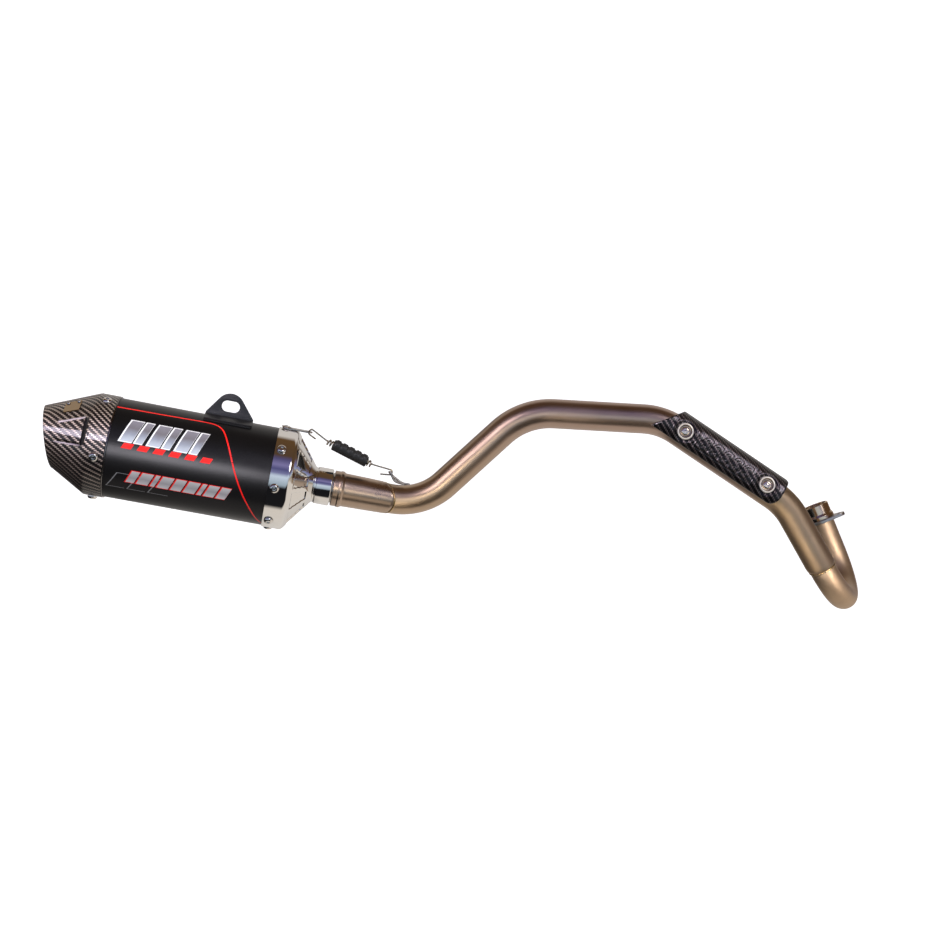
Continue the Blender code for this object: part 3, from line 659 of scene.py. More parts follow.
def make_mid_pipe():
    """Its front end is rolled in over the smaller header pipe, and cut a little askew."""
    axis = MUFFLER.to_3x3().col[2]
    slip = PIPE_CORNERS[0] + axis * (SLIP_TO_CORNER + 9.5)
    route = bent_route([slip, *PIPE_CORNERS], MID_BENDS)
    end, ahead = route.pop()
    radii = [MID_R] * len(route)
    ends = ((24.0, 1.0, 0.0), (18.0, 1.0, 0.25), (12.0, 1.0, 0.6), (6.0, 1.0, 1.0), (4.0, 0.996, 1.0),
            (2.4, 0.985, 1.0), (1.2, 0.965, 1.0), (0.4, 0.94, 1.0), (0.0, 0.90, 1.0))
    for back, factor, lean in ends:
        route.append((end - ahead * back, (ahead + Vector((0, MITRE * lean, 0))).normalized()))
        radii.append(MID_R * factor)
    piece = tube("mid_pipe_tube", route, radii, TITANIUM, WHOLE, "pipe", 72)
    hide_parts("mid_pipe")


def make_header_pipe():
    """Its top end has a rounded lip, and its bore is seen a little way down."""
    top = PORT.to_3x3().col[2] * HEADER_TOP
    route = bent_route([PIPE_CORNERS[-1], *LOOP_CORNERS, top], [HEADER_BEND] * 2)
    inner, edge = HEADER_R - PIPE_WALL, 0.25
    deep = route[:-9:-1]
    end, ahead = route.pop()
    lip = [(end - ahead * 0.2, ahead), (end, ahead), (end, ahead)]
    radii = [HEADER_R] * (len(route) + 1) + [HEADER_R - edge, inner + edge] + [inner] * len(deep)
    piece = tube("header_pipe_tube", route + lip + deep, radii, TITANIUM, WHOLE, "pipe", 64)
    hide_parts("header_pipe")


def bell_edge(angle):
    """Station of the bell's front edge: it reaches further on the near and far sides than on top."""
    return 5.2 - 9.3 * abs(math.cos(angle)) + 2.2 * math.sin(angle)


def make_weld(name, node, radius, edge, place, ripples):
    """A rippled bead: overlapping puddles, a little uneven, along an edge whose station varies."""
    size = 0.85
    steps, section = ripples * 6, 12
    shape = bmesh.new()
    rows = []
    for index in range(steps):
        angle = 2 * math.pi * index / steps
        puddle = (index % 6) / 6
        swell = size * (0.80 + 0.24 * math.sin(math.pi * puddle) ** 0.7)
        station = edge(angle) + 0.12 * math.sin(angle * 5.3) + 0.15 * puddle
        row = []
        for around in range(section):
            a = 2 * math.pi * around / section
            r = radius + swell * math.cos(a) * 0.75
            row.append((r * math.cos(angle), r * math.sin(angle), station + swell * 1.1 * math.sin(a)))
        rows.append(row)
    add_grid(shape, rows, close_rows=True, close_columns=True)
    piece = finish_mesh(name, shape, WELD, place, "pipe", 60)
    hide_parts(node)


def make_slip_bell():
    bore = SPIGOT_R + 0.5
    barrel = [(15.25 + 0.85 * t / 20, 42.0 * t / 20) for t in range(20, 0, -1)]
    profile = [
        (17.1, 54.8), (17.1, 49.6), (17.6, 48.6), (17.6, 46.4), (16.2, 44.4), *barrel,
        (14.9, 0.1), (MID_R - PIPE_WALL, 0.1), (bore, 12.0), (bore, 54.8),
    ]

    def edge_shift(angle, radius, station):
        return (bell_edge(angle) - 0.1) * (1 - ease(station, 0, 24))

    piece = lathe("slip_bell_turned", profile, BELL_TITANIUM, MUFFLER, "pipe", 112, 0.7, shift=edge_shift)
    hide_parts("slip_bell")


def make_port_parts():
    """The collar that enters the port, and the loose flange on the header pipe."""
    bore = HEADER_R - PIPE_WALL
    top, foot, bottom = 2.2, -7.8, -13.3
    profile = [
        (12.9, top), (13.5, top - 0.9), (13.6, foot), (14.8, foot - 2.2), (14.8, bottom),
        (bore, bottom), (bore, top - 1.5), (12.1, top - 0.4),
    ]
    collar = lathe("port_collar_turned", profile, COLLAR_METAL, PORT, "pipe", 96, 0.35)
    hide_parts("port_collar")

    hub, ear, pitch, hole, bore = 16.2, 6.6, 19.0, 3.2, 13.0
    clock = math.radians(-28)
    middle, thickness = -15.2, 3.2
    lean = math.acos((hub - ear) / pitch)
    outline = []
    for side in (0, math.pi):
        centre = (pitch * math.cos(side), pitch * math.sin(side))
        outline += arc(centre, ear, 19, side - lean, 2 * lean)
        outline += arc((0, 0), hub, 15, side + lean, math.pi - 2 * lean)
    holes = [ring_of((sign * pitch, 0), hole, 32) for sign in (1, -1)]
    place = PORT @ Matrix.Translation((0, 0, middle * MM)) @ Matrix.Rotation(clock, 4, "Z")
    outlines = [outline, ring_of((0, 0), bore, 72), *holes]
    flange = plate("header_flange_plate", outlines, thickness, 0.35, STEEL, place, "flange")
    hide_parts("header_flange")


# ---------------------------------------------------------------- muffler

CONE_FOOT = (SKIRT_R, 96.4)
CONE_TOP = (21.5, 76.5)
POCKETS = 12
POCKET_START = math.radians(3.5)
POCKET_ENDS = (79.2, 92.0)
POCKET_DEPTH = 1.5


def pocket(angle, radius, station):
    """Recesses machined into the outer side of the inlet cone, narrower towards the neck."""
    slope = (CONE_FOOT[0] - CONE_TOP[0]) / (CONE_FOOT[1] - CONE_TOP[1])
    on_cone = abs(radius - CONE_TOP[0] - (station - CONE_TOP[1]) * slope) < 0.4
    if not (on_cone and 77 < station < 93.5):
        return 0.0
    pitch = 2 * math.pi / POCKETS
    offset = (angle - POCKET_START + pitch / 2) % pitch - pitch / 2
    half = math.radians(8.6) + math.radians(3.0) * (station - 79.0) / 13.0
    inside = within(offset, -half, half, math.radians(1.2)) * within(station, *POCKET_ENDS, 0.45)
    return -POCKET_DEPTH * inside


def make_inlet_cap():
    """A thin skirt, a soft shoulder, a steep cone with machined pockets, and a grooved neck."""
    bore = SPIGOT_R + 0.3
    outer = rounded([(SKIRT_R, 114.9), CONE_FOOT, CONE_TOP], 5.5, 8, closed=False)
    steps = 80
    cone = [outer[-2].lerp(outer[-1], index / steps) for index in range(1, steps + 1)]
    neck = rounded([CONE_TOP, (18.4, 74.2), (16.9, 72.8), (16.9, 71.4), (17.8, 70.6), (17.8, 57.0),
                    (17.0, NECK_Z), (bore, NECK_Z)], 0.6, 3, closed=False)[1:]
    inside = [(bore, 78.5), (20.5, 80.5), (43.5, 97.0), (46.0, 98.8), (47.5, 99.4), (47.5, 114.9)]
    profile = [*outer[:-1], *cone, *neck, *inside]
    cap = lathe("inlet_cap_machined", profile, POLISHED, MUFFLER, "muffler", 480, 0, offset=pocket)
    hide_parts("inlet_cap")


def make_can():
    """The black sleeve, a plain thin tube."""
    front, rear = CAN_ENDS
    profile = [(CAN_R, rear), (CAN_R, front), (CAN_R - 1, front), (CAN_R - 1, rear)]
    can = lathe("can_sleeve_skin", profile, BLACK_CAN, MUFFLER, "muffler", 160, 0.3)
    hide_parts("can_sleeve")


def make_end_ring():
    """The ring that closes the can, seen as a thin lip, and the tail tube with its rolled end."""
    seat = SKIRT_R - CAP_WALL - 0.6
    profile = [
        (seat, 281), (seat, 265.1), (SKIRT_R - 0.1, 265.1), (SKIRT_R - 0.1, 264.3), (45.9, 264.3),
        (45.9, 256), (17.3, 256), (17.3, 258.5), (seat - 3, 258.5), (seat - 3, 281),
    ]
    ring = lathe("end_ring_turned", profile, LIP_METAL, MUFFLER, "muffler", 128, 0.12)
    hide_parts("end_ring")
    profile = [(17.0, 306.5), (17.0, 250), (15.8, 250), (15.8, 307.5), (16.4, 309.0), (17.6, 308.6),
               (17.9, 307.4)]
    tail = lathe("tail_tube_rolled", profile, SOOTY, MUFFLER, "muffler", 96, 0.4)
    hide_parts("tail_tube")


WEDGE_HEIGHT = 3.4
MOUTH_WIDTH = 2.8
MOUTH_DEPTH = 1.4
WEDGE_Z = (288.2, 318.0)
WEDGE_ANGLES = (-3.0, 31.0)
RIM_R = 1.25
CAP_STEPS = 480


def wedge_span(station):
    """How far along the scoop this station is, and the angles of the scoop's two edges there."""
    taper = (station - WEDGE_Z[0]) / (WEDGE_Z[1] - WEDGE_Z[0])
    return taper, WEDGE_ANGLES[0] - 4.0 * taper, WEDGE_ANGLES[1] - 7.0 * taper


def wedge(degrees, station):
    """A raised scoop on each side of the cap: its mouth faces the can, and it fades out at the tail."""
    mirrored = 180 - degrees if abs(degrees) > 90 else degrees
    taper, low, high = wedge_span(station)
    side = ease(mirrored, low - 1.0, low + 2.5) * (1 - ease(mirrored, high - 3.5, high + 1.0))
    fall = max(0.0, min(1.0, 1 - taper))
    rise = WEDGE_HEIGHT * ease(station, WEDGE_Z[0] - 0.35, WEDGE_Z[0]) * fall
    trench = -MOUTH_DEPTH * within(station, WEDGE_Z[0] - MOUTH_WIDTH, WEDGE_Z[0] - 0.5, 0.3)
    return side * rise + within(mirrored, low, high, 0.8) * trench


def cap_radius(station):
    """The cap's outer radius, with a soft shoulder between skirt and cone."""
    past = station - TAIL_SHOULDER_Z
    soft = 0.6
    return SKIRT_R - CONE_SLOPE * (past + math.sqrt(past * past + soft * soft)) / 2


def cap_point(angle, station, inset=0.0, lift=0.0):
    radius = cap_radius(station) - inset + lift
    rise = max(0.0, station - TAIL_SHOULDER_Z) * CONE_RISE
    return Vector((radius * math.cos(angle), radius * math.sin(angle) + rise, station))


def outlet_station(angle, inset=0.0):
    """Where the slanted outlet cuts the cap at this angle."""
    station = OUTLET_MIDDLE
    for _ in range(8):
        station = OUTLET_MIDDLE + OUTLET_LEAN * cap_point(angle, station, inset).y
    return station


def make_tail_cap():
    """Skirt, rising cone, rolled outlet rim and the hollow inside, as one loop turned round the axis."""
    fixed = [TAIL_SKIRT_Z + value for value in (
        0.0, 0.25, 0.7, 4, 8, 12, 14, 15.5, 16.5, 17.3, 18.2, 19.5, 20.7, 20.95, 21.1,
    )]
    fixed += [WEDGE_Z[0] + value for value in (-3.1, -2.8, -2.5, -1.6, -0.8, -0.5, -0.2, 0.0, 0.5, 1.2)]
    fractions = [index / 16 for index in range(1, 17)]
    columns = []
    for index in range(CAP_STEPS):
        angle = 2 * math.pi * index / CAP_STEPS
        degrees = (math.degrees(angle) + 90) % 360 - 90
        rim = outlet_station(angle) - 1.2
        start = fixed[-1]
        stations = fixed + [start + (rim - start) * t for t in fractions]
        column = [cap_point(angle, z, 0.3 * (z == TAIL_SKIRT_Z), wedge(degrees, z)) for z in stations]
        inner_rim = outlet_station(angle, CAP_WALL) - 1.2
        outer, inner = column[-1], cap_point(angle, inner_rim, CAP_WALL * 1.25)
        middle = (outer + inner) / 2
        reach = (outer - inner) / 2
        for turn in (30, 60, 90, 120, 150):
            a = math.radians(turn)
            column.append(middle + reach * math.cos(a) + Vector((0, 0, RIM_R * math.sin(a))))
        column.append(inner)
        for t in (0.2, 0.5, 0.8, 1.0):
            z = inner_rim + (TAIL_SHOULDER_Z - 1.4 - inner_rim) * t
            column.append(cap_point(angle, z, CAP_WALL * (1.25 - 0.1 * t)))
        column.append(Vector((
            (SKIRT_R - CAP_WALL) * math.cos(angle), (SKIRT_R - CAP_WALL) * math.sin(angle), TAIL_SKIRT_Z,
        )))
        columns.append(column)
    shape = bmesh.new()
    add_grid(shape, columns, close_rows=True, close_columns=True)
    cap = finish_mesh("tail_cap_carbon", shape, TAIL_CARBON, MUFFLER, "muffler", 40)
    cap.data.materials.append(MOUTH_PAINTED_SHADE)
    cap.data.materials.append(EDGE_PAINTED_HIGHLIGHT)
    for face in cap.data.polygons:
        x, y, z = face.center / MM
        mirrored = math.degrees(math.atan2(y, abs(x)))
        away = math.hypot(x, y)
        # Faces in the scoop's mouth get the painted shade.
        in_mouth = -MOUTH_WIDTH < z - WEDGE_Z[0] < -0.2
        if in_mouth and WEDGE_ANGLES[0] < mirrored < WEDGE_ANGLES[1] and away > 40:
            face.material_index = 1
        # Faces along the scoop's upper and lower edges get the painted highlight.
        taper, low, high = wedge_span(z)
        near_edge = high - 3.5 + 2 * taper < mirrored < high + 1.0 or low - 1.0 < mirrored < low + 1.0
        if 0 < taper < 0.85 and near_edge and away > 30:
            face.material_index = 2
    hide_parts("tail_cap")


def button_screw(name, node, foot, outward, body, head_r, head_h, material):
    """A button head with a hexagon socket, standing on foot along outward."""
    profile = [(0.001, 0.55), (0.42, 0.50), (0.42, 0.98), (0.50, 1.0), (0.66, 0.95), (0.83, 0.74),
               (0.96, 0.40), (1.0, 0.16), (0.985, 0.0), (0.55, 0.0)]
    steps = 48
    shape = bmesh.new()
    rows = []
    for radius, height in profile:
        row = []
        for index in range(steps):
            angle = 2 * math.pi * index / steps
            flat = math.cos(math.pi / 6) / math.cos((angle + math.pi / 6) % (math.pi / 3) - math.pi / 6)
            r = radius * head_r * (flat if radius == 0.42 else 1)
            row.append((r * math.cos(angle), r * math.sin(angle), height * head_h))
        rows.append(row)
    add_grid(shape, rows, close_columns=True)
    place = frame_of(foot, outward, (0.3, 0.2, 1.0))
    piece = finish_mesh(name, shape, material, place, body, 32)
    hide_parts(node)


def make_cap_screws():
    """Each screw points out from the muffler's axis, and its head's top is where the node ends."""
    inverse = MUFFLER.inverted()
    for node in sorted(NODES):
        if not node.startswith(("inlet_screw_", "tail_screw_")):
            continue
        points = [inverse @ Vector(point) for point in node_points(node)]
        middle = sum(points, Vector()) / len(points)
        out = Vector((middle.x, middle.y, 0)).normalized()
        top = max(point.dot(out) for point in points)
        foot = MUFFLER @ (out * (top - SCREW_HEAD_H * MM) + Vector((0, 0, middle.z)))
        outward = MUFFLER.to_3x3() @ out
        under_strap = node.startswith("inlet") and abs(math.atan2(out.y, out.x) - TAB_ANGLE) < 0.1
        height = 1.2 if under_strap else SCREW_HEAD_H
        button_screw(node + "_button", node, foot, outward, "muffler", SCREW_HEAD_R, height, SCREW_METAL)


def on_can(angle, station, lift):
    """A point this far above the can's skin."""
    radius = CAN_R + lift
    return (radius * math.cos(angle), radius * math.sin(angle), station)


def patch(shape, corners, lift, columns=10, rows=12):
    """A printed four-sided shape laid on the can. Corners are (degrees, station), in order round it."""
    a, b, c, d = [Vector(corner) for corner in corners]
    grid = []
    for row in range(rows + 1):
        t = row / rows
        left, right = a.lerp(d, t), b.lerp(c, t)
        line = [left.lerp(right, column / columns) for column in range(columns + 1)]
        grid.append([on_can(math.radians(angle), station, lift) for angle, station in line])
    add_grid(shape, grid)


def slanted_bar(high, low, tail, length, slant, inset=0.0):
    """Corners of a leaning bar between two angles. inset, in millimetres, shrinks it on every side."""
    turn = math.degrees(inset / CAN_R)
    top, bottom = high - turn, low + turn
    lean = slant * (1 - 2 * turn / (high - low))
    shift = slant * turn / (high - low)
    return [(top, tail - inset - shift), (top, tail - length + inset - shift),
            (bottom, tail - length + inset - shift + lean), (bottom, tail - inset - shift + lean)]


def make_graphics():
    """Plain leaning bars, on both sides of the can."""
    layers = {}

    def layer(name):
        if name not in layers:
            layers[name] = bmesh.new()
        return layers[name]

    def both_sides(name, corners, lift):
        for mirrored in (False, True):
            points = [(180 - angle if mirrored else angle, station) for angle, station in corners]
            patch(layer(name), points, lift)

    tail = 247.8
    for length, gap in ((12.6, 1.2), (8.2, 3.2), (12.6, 1.2), (8.2, 3.2), (12.6, 1.2), (8.2, 0)):
        both_sides("upper_edge", slanted_bar(38.0, 9.5, tail, length, 8.0), 0.05)
        both_sides("upper_fill", slanted_bar(38.0, 9.5, tail, length, 8.0, 0.85), 0.09)
        tail -= length + gap
    for index in range(6):
        both_sides("ticks", slanted_bar(8.9, 2.6, 249.6 - 14.4 * index, 9.2, 2.4), 0.05)
    tail = 239.0
    for length in (9.0, 12.0, 5.5, 12.0, 11.0, 12.0, 5.5, 11.0, 10.0):
        both_sides("lower_edge", slanted_bar(-20.5, -37.0, tail, length - 0.4, 5.5), 0.05)
        both_sides("lower_fill", slanted_bar(-20.5, -37.0, tail, length - 0.4, 5.5, 0.6), 0.09)
        tail -= length + 0.6
    for start, length in ((252.0, 17.0), (233.0, 17.0), (214.0, 19.0)):
        both_sides("faint", slanted_bar(-26.0, -47.0, start, length, 9.0), 0.02)
        both_sides("faint_inside", slanted_bar(-26.0, -47.0, start, length, 9.0, 0.55), 0.035)
    names = {
        "upper_edge": WHITE_INK, "upper_fill": SILVER_INK, "ticks": RED_INK, "lower_edge": RED_INK,
        "lower_fill": LOWER_INK, "faint": FAINT_INK, "faint_inside": BLACK_CAN,
    }
    for name, shape in layers.items():
        piece = finish_mesh("print_" + name, shape, names[name], MUFFLER, "muffler")


def make_pinstripe():
    """It runs along the can's upper side, then turns down across it to the inlet cap."""
    width = 1.35
    knots = [(54.0, 264.0), (54.4, 245.0), (54.9, 224.8), (55.6, 203.0), (56.2, 184.0), (54.6, 172.8),
             (46.5, 164.6), (24.2, 156.2), (-0.5, 147.4), (-22.0, 138.2), (-42.2, 128.4), (-60.0, 120.5),
             (-70.0, 115.2)]
    shape = bmesh.new()
    for mirrored in (False, True):
        flat = []
        for degrees, station in knots:
            flat.append((math.radians(180 - degrees if mirrored else degrees) * CAN_R, station, 0))
        rows = []
        for point, ahead in wire_route(flat):
            side = Vector((-ahead.y, ahead.x, 0)) * width / 2
            line = [point + side, point, point - side]
            rows.append([on_can(p.x / CAN_R, p.y, 0.07) for p in line])
        add_grid(shape, rows)
    piece = finish_mesh("print_pinstripe", shape, RED_INK, MUFFLER, "muffler")


# Hanger bracket, in the muffler's frame: (station, height) outlines, on the rider's right of the axis.
TAB_X = (9.4, 11.9)
TAB_CENTRE = (163.7, 57.0)
TAB_R = 13.5
TAB_ENDS = (185.5, 140.4)
TAB_FOOT_Y = 47.4


def make_hanger():
    """A slotted tab with rounded edges, on a foot that is folded down along the can."""
    base_y = TAB_FOOT_Y + 2.2
    angles = []
    for end, side in ((TAB_ENDS[0], 1), (TAB_ENDS[1], -1)):
        away = Vector((end - TAB_CENTRE[0], base_y - TAB_CENTRE[1]))
        angles.append(math.atan2(away.y, away.x) + side * math.acos(TAB_R / away.length))
    sweep = (angles[1] - angles[0]) % (2 * math.pi)
    outline = [(TAB_ENDS[0], TAB_FOOT_Y), (TAB_ENDS[0], base_y)]
    outline += arc(TAB_CENTRE, TAB_R, 40, angles[0], sweep)
    outline += [(TAB_ENDS[1], base_y), (TAB_ENDS[1], TAB_FOOT_Y)]
    slot_x, slot_y, slot_r, slot_half = 163.3, 58.2, 5.2, 3.3
    slot = arc((slot_x + slot_half, slot_y), slot_r, 20, -math.pi / 2, math.pi)
    slot += arc((slot_x - slot_half, slot_y), slot_r, 20, math.pi / 2, math.pi)
    swap = Matrix(((0, 0, -1, 0), (0, 1, 0, 0), (1, 0, 0, 0), (0, 0, 0, 1)))
    place = MUFFLER @ Matrix.Translation((sum(TAB_X) / 2 * MM, 0, 0)) @ swap
    tab = plate("hanger_tab", [outline, slot], TAB_X[1] - TAB_X[0], 0.45, POWDER, place, "muffler")
    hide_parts("hanger_bracket")

    thickness, low, high = 2.4, math.radians(61.5), math.radians(78.0)
    section = [(CAN_R + 0.3 + thickness, low + (high - low) * index / 12) for index in range(13)]
    section += [(radius - thickness, angle) for radius, angle in reversed(section)]
    section = rounded([Vector((r * math.cos(a), r * math.sin(a))) for r, a in section], 0.5, 3)
    shape = bmesh.new()
    rows = []
    middle, half = sum(TAB_ENDS) / 2, (TAB_ENDS[0] - TAB_ENDS[1]) / 2
    centre = sum(section, Vector((0, 0))) / len(section)
    for t in (-1.0, -0.985, -0.95, -0.5, 0.0, 0.5, 0.95, 0.985, 1.0):
        shrink = 1 - 0.012 * (abs(t) > 0.98) - 0.02 * (abs(t) == 1.0)
        rows.append([(*(centre + (point - centre) * shrink), middle + half * t) for point in section])
    ends = add_grid(shape, rows, close_columns=True)
    for end in (ends[0], ends[-1]):
        shape.faces.new(end)
    foot = finish_mesh("hanger_foot", shape, POWDER, MUFFLER, "muffler", 30)
    bead = []
    for index in range(60):
        t = index / 59
        angle = low - 0.012 + 0.004 * math.sin(t * 55)
        bead.append(on_can(angle, TAB_ENDS[0] - 1.5 - t * (2 * half - 3.0), 0.55))
    weld_line = wire("hanger_fillet", bead, 0.7, POWDER, MUFFLER, "muffler", 10)


def make_badge():
    """The CAD's plate with softened edges, toned brown as a painted reflection, and two domed rivets on the
    tail cap.
    """
    points = node_points("badge_plate")
    middle = points.mean(0)
    axes = np.linalg.svd(points - middle)[2]
    normal = Vector(axes[2])
    axis_point = MUFFLER @ (MUFFLER.inverted() @ Vector(middle) * Vector((0, 0, 1)))
    if normal.dot(Vector(middle) - axis_point) < 0:
        normal.negate()
    badge = NODES["badge_plate"]
    bevel = badge.modifiers.new("soft edge", "BEVEL")
    bevel.width = 0.25 * MM
    bevel.segments = 3
    bevel.limit_method = "ANGLE"
    badge.data.materials.clear()
    # The plate's brown tone is a painted reflection.
    badge.data.materials.append(BADGE_PAINTED_REFLECTION)
    for node in ("badge_rivet_1", "badge_rivet_2"):
        rivet = node_points(node)
        low = min((rivet - middle) @ np.array(normal))
        centre = Vector(rivet.mean(0))
        centre += normal * (low - (centre - Vector(middle)).dot(normal))
        profile = [(0.001, 1.35), (0.6, 1.3), (1.15, 1.08), (1.6, 0.62), (1.78, 0.2), (1.8, 0.0)]
        place = frame_of(centre, normal, (0, 0, 1))
        dome = lathe(node + "_dome", profile, SCREW_METAL, place, "muffler", 32, 0, closed=False)
        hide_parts(node)


# ---------------------------------------------------------------- spring

TAB_ANGLE = math.radians(79.5)
COIL_REAR = Vector((7.5, 42.9, 68.5))
COIL_FRONT = Vector((3.8, 28.9, 22.0))
COIL_R = 2.75  # a little slimmer than the CAD's, so the stretched coil clears its sleeve
COIL_TURNS = 17
WIRE_R = 0.75
REAR_HOOK = (SKIRT_R + 0.9, 84.35, 2.75)  # distance from the muffler's axis, station, bend radius
FRONT_BAR = Vector((2.5, 25.0, 4.0))
FRONT_HOOK_R = 2.6


def spring_points():
    """Rear hook, coil and front hook, in the muffler's frame."""
    axis = (COIL_FRONT - COIL_REAR).normalized()
    up = (Vector((0, 1, 0)) - axis * axis.y).normalized()
    side = axis.cross(up)
    per_turn = 8
    length = (COIL_FRONT - COIL_REAR).length
    count = COIL_TURNS * per_turn
    coil = []
    for index in range(count + 1):
        angle = 2 * math.pi * index / per_turn
        along = axis * length * index / count
        radius = COIL_R * min(1.0, 0.15 + 0.28 * min(index, count - index))
        coil.append(COIL_REAR + along + (up * math.cos(angle) + side * math.sin(angle)) * radius)
    out = Vector((math.cos(TAB_ANGLE), math.sin(TAB_ANGLE), 0))
    radius, station, hook_r = REAR_HOOK
    rear = out * radius + Vector((0, 0, station))
    back = Vector((0, 0, 1))
    rear_hook = [rear + out * -5.2 - back * 4.4]
    for degrees in (-60, -25, 10, 45, 80, 110):
        a = math.radians(degrees)
        rear_hook.append(rear + (back * math.cos(a) + out * math.sin(a)) * hook_r)
    front_hook = []
    upward, front = Vector((0, 1, 0)), Vector((0, 0, -1))
    for degrees in (100, 65, 30, -5, -40, -75):
        a = math.radians(degrees)
        front_hook.append(FRONT_BAR + (front * math.cos(a) + upward * math.sin(a)) * FRONT_HOOK_R)
    front_hook.append(FRONT_BAR - upward * 3.4 - front * 8.0)
    return rear_hook + coil + front_hook


def make_spring():
    """The wire stretches between the pipe's bail and the muffler's tab."""
    spring = wire("spring_wire_coil", spring_points(), WIRE_R, SPRING_WIRE, MUFFLER, None, 10)
    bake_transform(spring)
    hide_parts("muffler_spring")


def make_spring_sleeve():
    """A ribbed rubber tube over the coil, with raised lozenges along its upper side."""
    axis = COIL_FRONT - COIL_REAR
    place = MUFFLER @ frame_of(COIL_REAR * MM, axis, (0, 1, 0))
    low, high = [(station - COIL_REAR.z) * axis.length / axis.z for station in (61.9, 27.5)]
    outer, bore = 5.3, 4.4
    profile = [(bore + 0.3, low), (outer - 0.35, low)]
    count = 60
    for index in range(count + 1):
        t = index / count
        profile.append((outer, low + (high - low) * (0.012 + 0.976 * t)))
    profile += [(outer - 0.35, high), (bore + 0.3, high), (bore, high), (bore, low)]

    def bumps(angle, radius, station):
        if radius < outer - 0.1:
            return 0.0
        part = (station - low) / (high - low)
        lozenge = (part * 5) % 1
        upper = max(0.0, math.cos(angle - 0.5)) ** 2
        raised = 1.25 * within(lozenge, 0.22, 0.78, 0.12) * upper * within(part, 0.05, 0.95, 0.01)
        tick = (part * 17) % 1
        lower = within(math.degrees(angle) % 360, 240, 300, 4) * within(part, 0.10, 0.90, 0.01)
        return raised + 0.28 * lower * within(tick, 0.2, 0.6, 0.1) - 0.25 * abs(math.sin(angle * 2)) ** 8

    sleeve = lathe("spring_sleeve_ribbed", profile, RUBBER, place, "spring_cover", 96, 0, offset=bumps)
    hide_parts("spring_sleeve")


def make_spring_mounts():
    """The wire bail on the pipe and the flat strap under the cap screw."""
    half, skew = 4.5, 3.6
    side = [(-13.5, 16.7), (-8.0, 16.6), (-4.0, 18.4), (2.2, 23.4)]
    near = [Vector((FRONT_BAR.x + half, y, z + skew * (23.4 - y) / 7)) for z, y in side]
    near[0].y, near[1].y = 16.3, 16.9
    top = []
    for index in range(9):
        a = math.radians(10 + 20 * index)
        top.append(FRONT_BAR + Vector((half * math.cos(a), 0, half * 0.35 * (math.sin(a) - 1))))
    far = [Vector((FRONT_BAR.x - half, y, z - skew * (23.4 - y) / 7)) for z, y in reversed(side)]
    bail = wire("spring_bail_wire", near + top + far, 1.15, STEEL, MUFFLER, "pipe", 14)
    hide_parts("spring_bail")

    tip, rear, width = 83.35, 112.3, 8.0
    hole = REAR_HOOK[1] + REAR_HOOK[2] + 0.4
    outline = arc((rear - width / 2, 0), width / 2, 20, -math.pi / 2, math.pi)
    outline += arc((tip + width / 2, 0), width / 2, 20, math.pi / 2, math.pi)
    holes = [ring_of((105.8, 0), 2.75, 24), ring_of((hole, 0), 2.2, 24)]
    out = Vector((math.cos(TAB_ANGLE), math.sin(TAB_ANGLE), 0))
    place = MUFFLER @ frame_of(out * REAR_HOOK[0] * MM, out, (0, 0, 1))
    strap = plate("spring_tab_strap", [outline, *holes], 1.2, 0.25, STEEL, place, "muffler")
    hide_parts("spring_tab")


# ---------------------------------------------------------------- heat shield

SHIELD_WALL = 1.4
SHIELD_ARC = (math.radians(-36), math.radians(98))
SHIELD_START = (-7.0, 13.5)
SHIELD_END = 134.5
SHIELD_TILT = math.radians(8.4)
SHIELD_SCREWS = ((23.2, math.radians(4.5)), (116.5, SHIELD_TILT))


def shield_relief(x, angle):
    """Dished seats round the screws, and a row of plain leaning lozenges between them."""
    across = (angle - SHIELD_TILT) * SHIELD_R
    relief = 0.0
    for station, tilt in SHIELD_SCREWS:
        away = math.hypot(x - station, (angle - tilt) * SHIELD_R)
        relief -= 0.9 * (1 - ease(away, 8.6, 11.0))
        relief += 0.3 * within(away, 11.2, 12.2, 0.8)
    for index in range(5):
        along = x - (46.5 + 11.6 * index) - 0.35 * across
        size = (abs(along) / 5.2) ** 3 + (abs(across + 0.5) / 8.0) ** 3
        relief += 1.0 * (1 - ease(size, 0.62, 1.0))
        hole = (abs(along) / 2.2) ** 2 + (abs(abs(across + 0.5) - 3.2) / 1.7) ** 2
        relief -= 0.9 * (1 - ease(hole, 0.4, 1.1))
    band = within(x, 37.0, 103.0, 0.7) * within(across, -10.0, 9.0, 0.7)
    inner_band = within(x, 38.2, 101.8, 0.7) * within(across, -8.9, 7.9, 0.7)
    return relief + 0.35 * (band - inner_band)


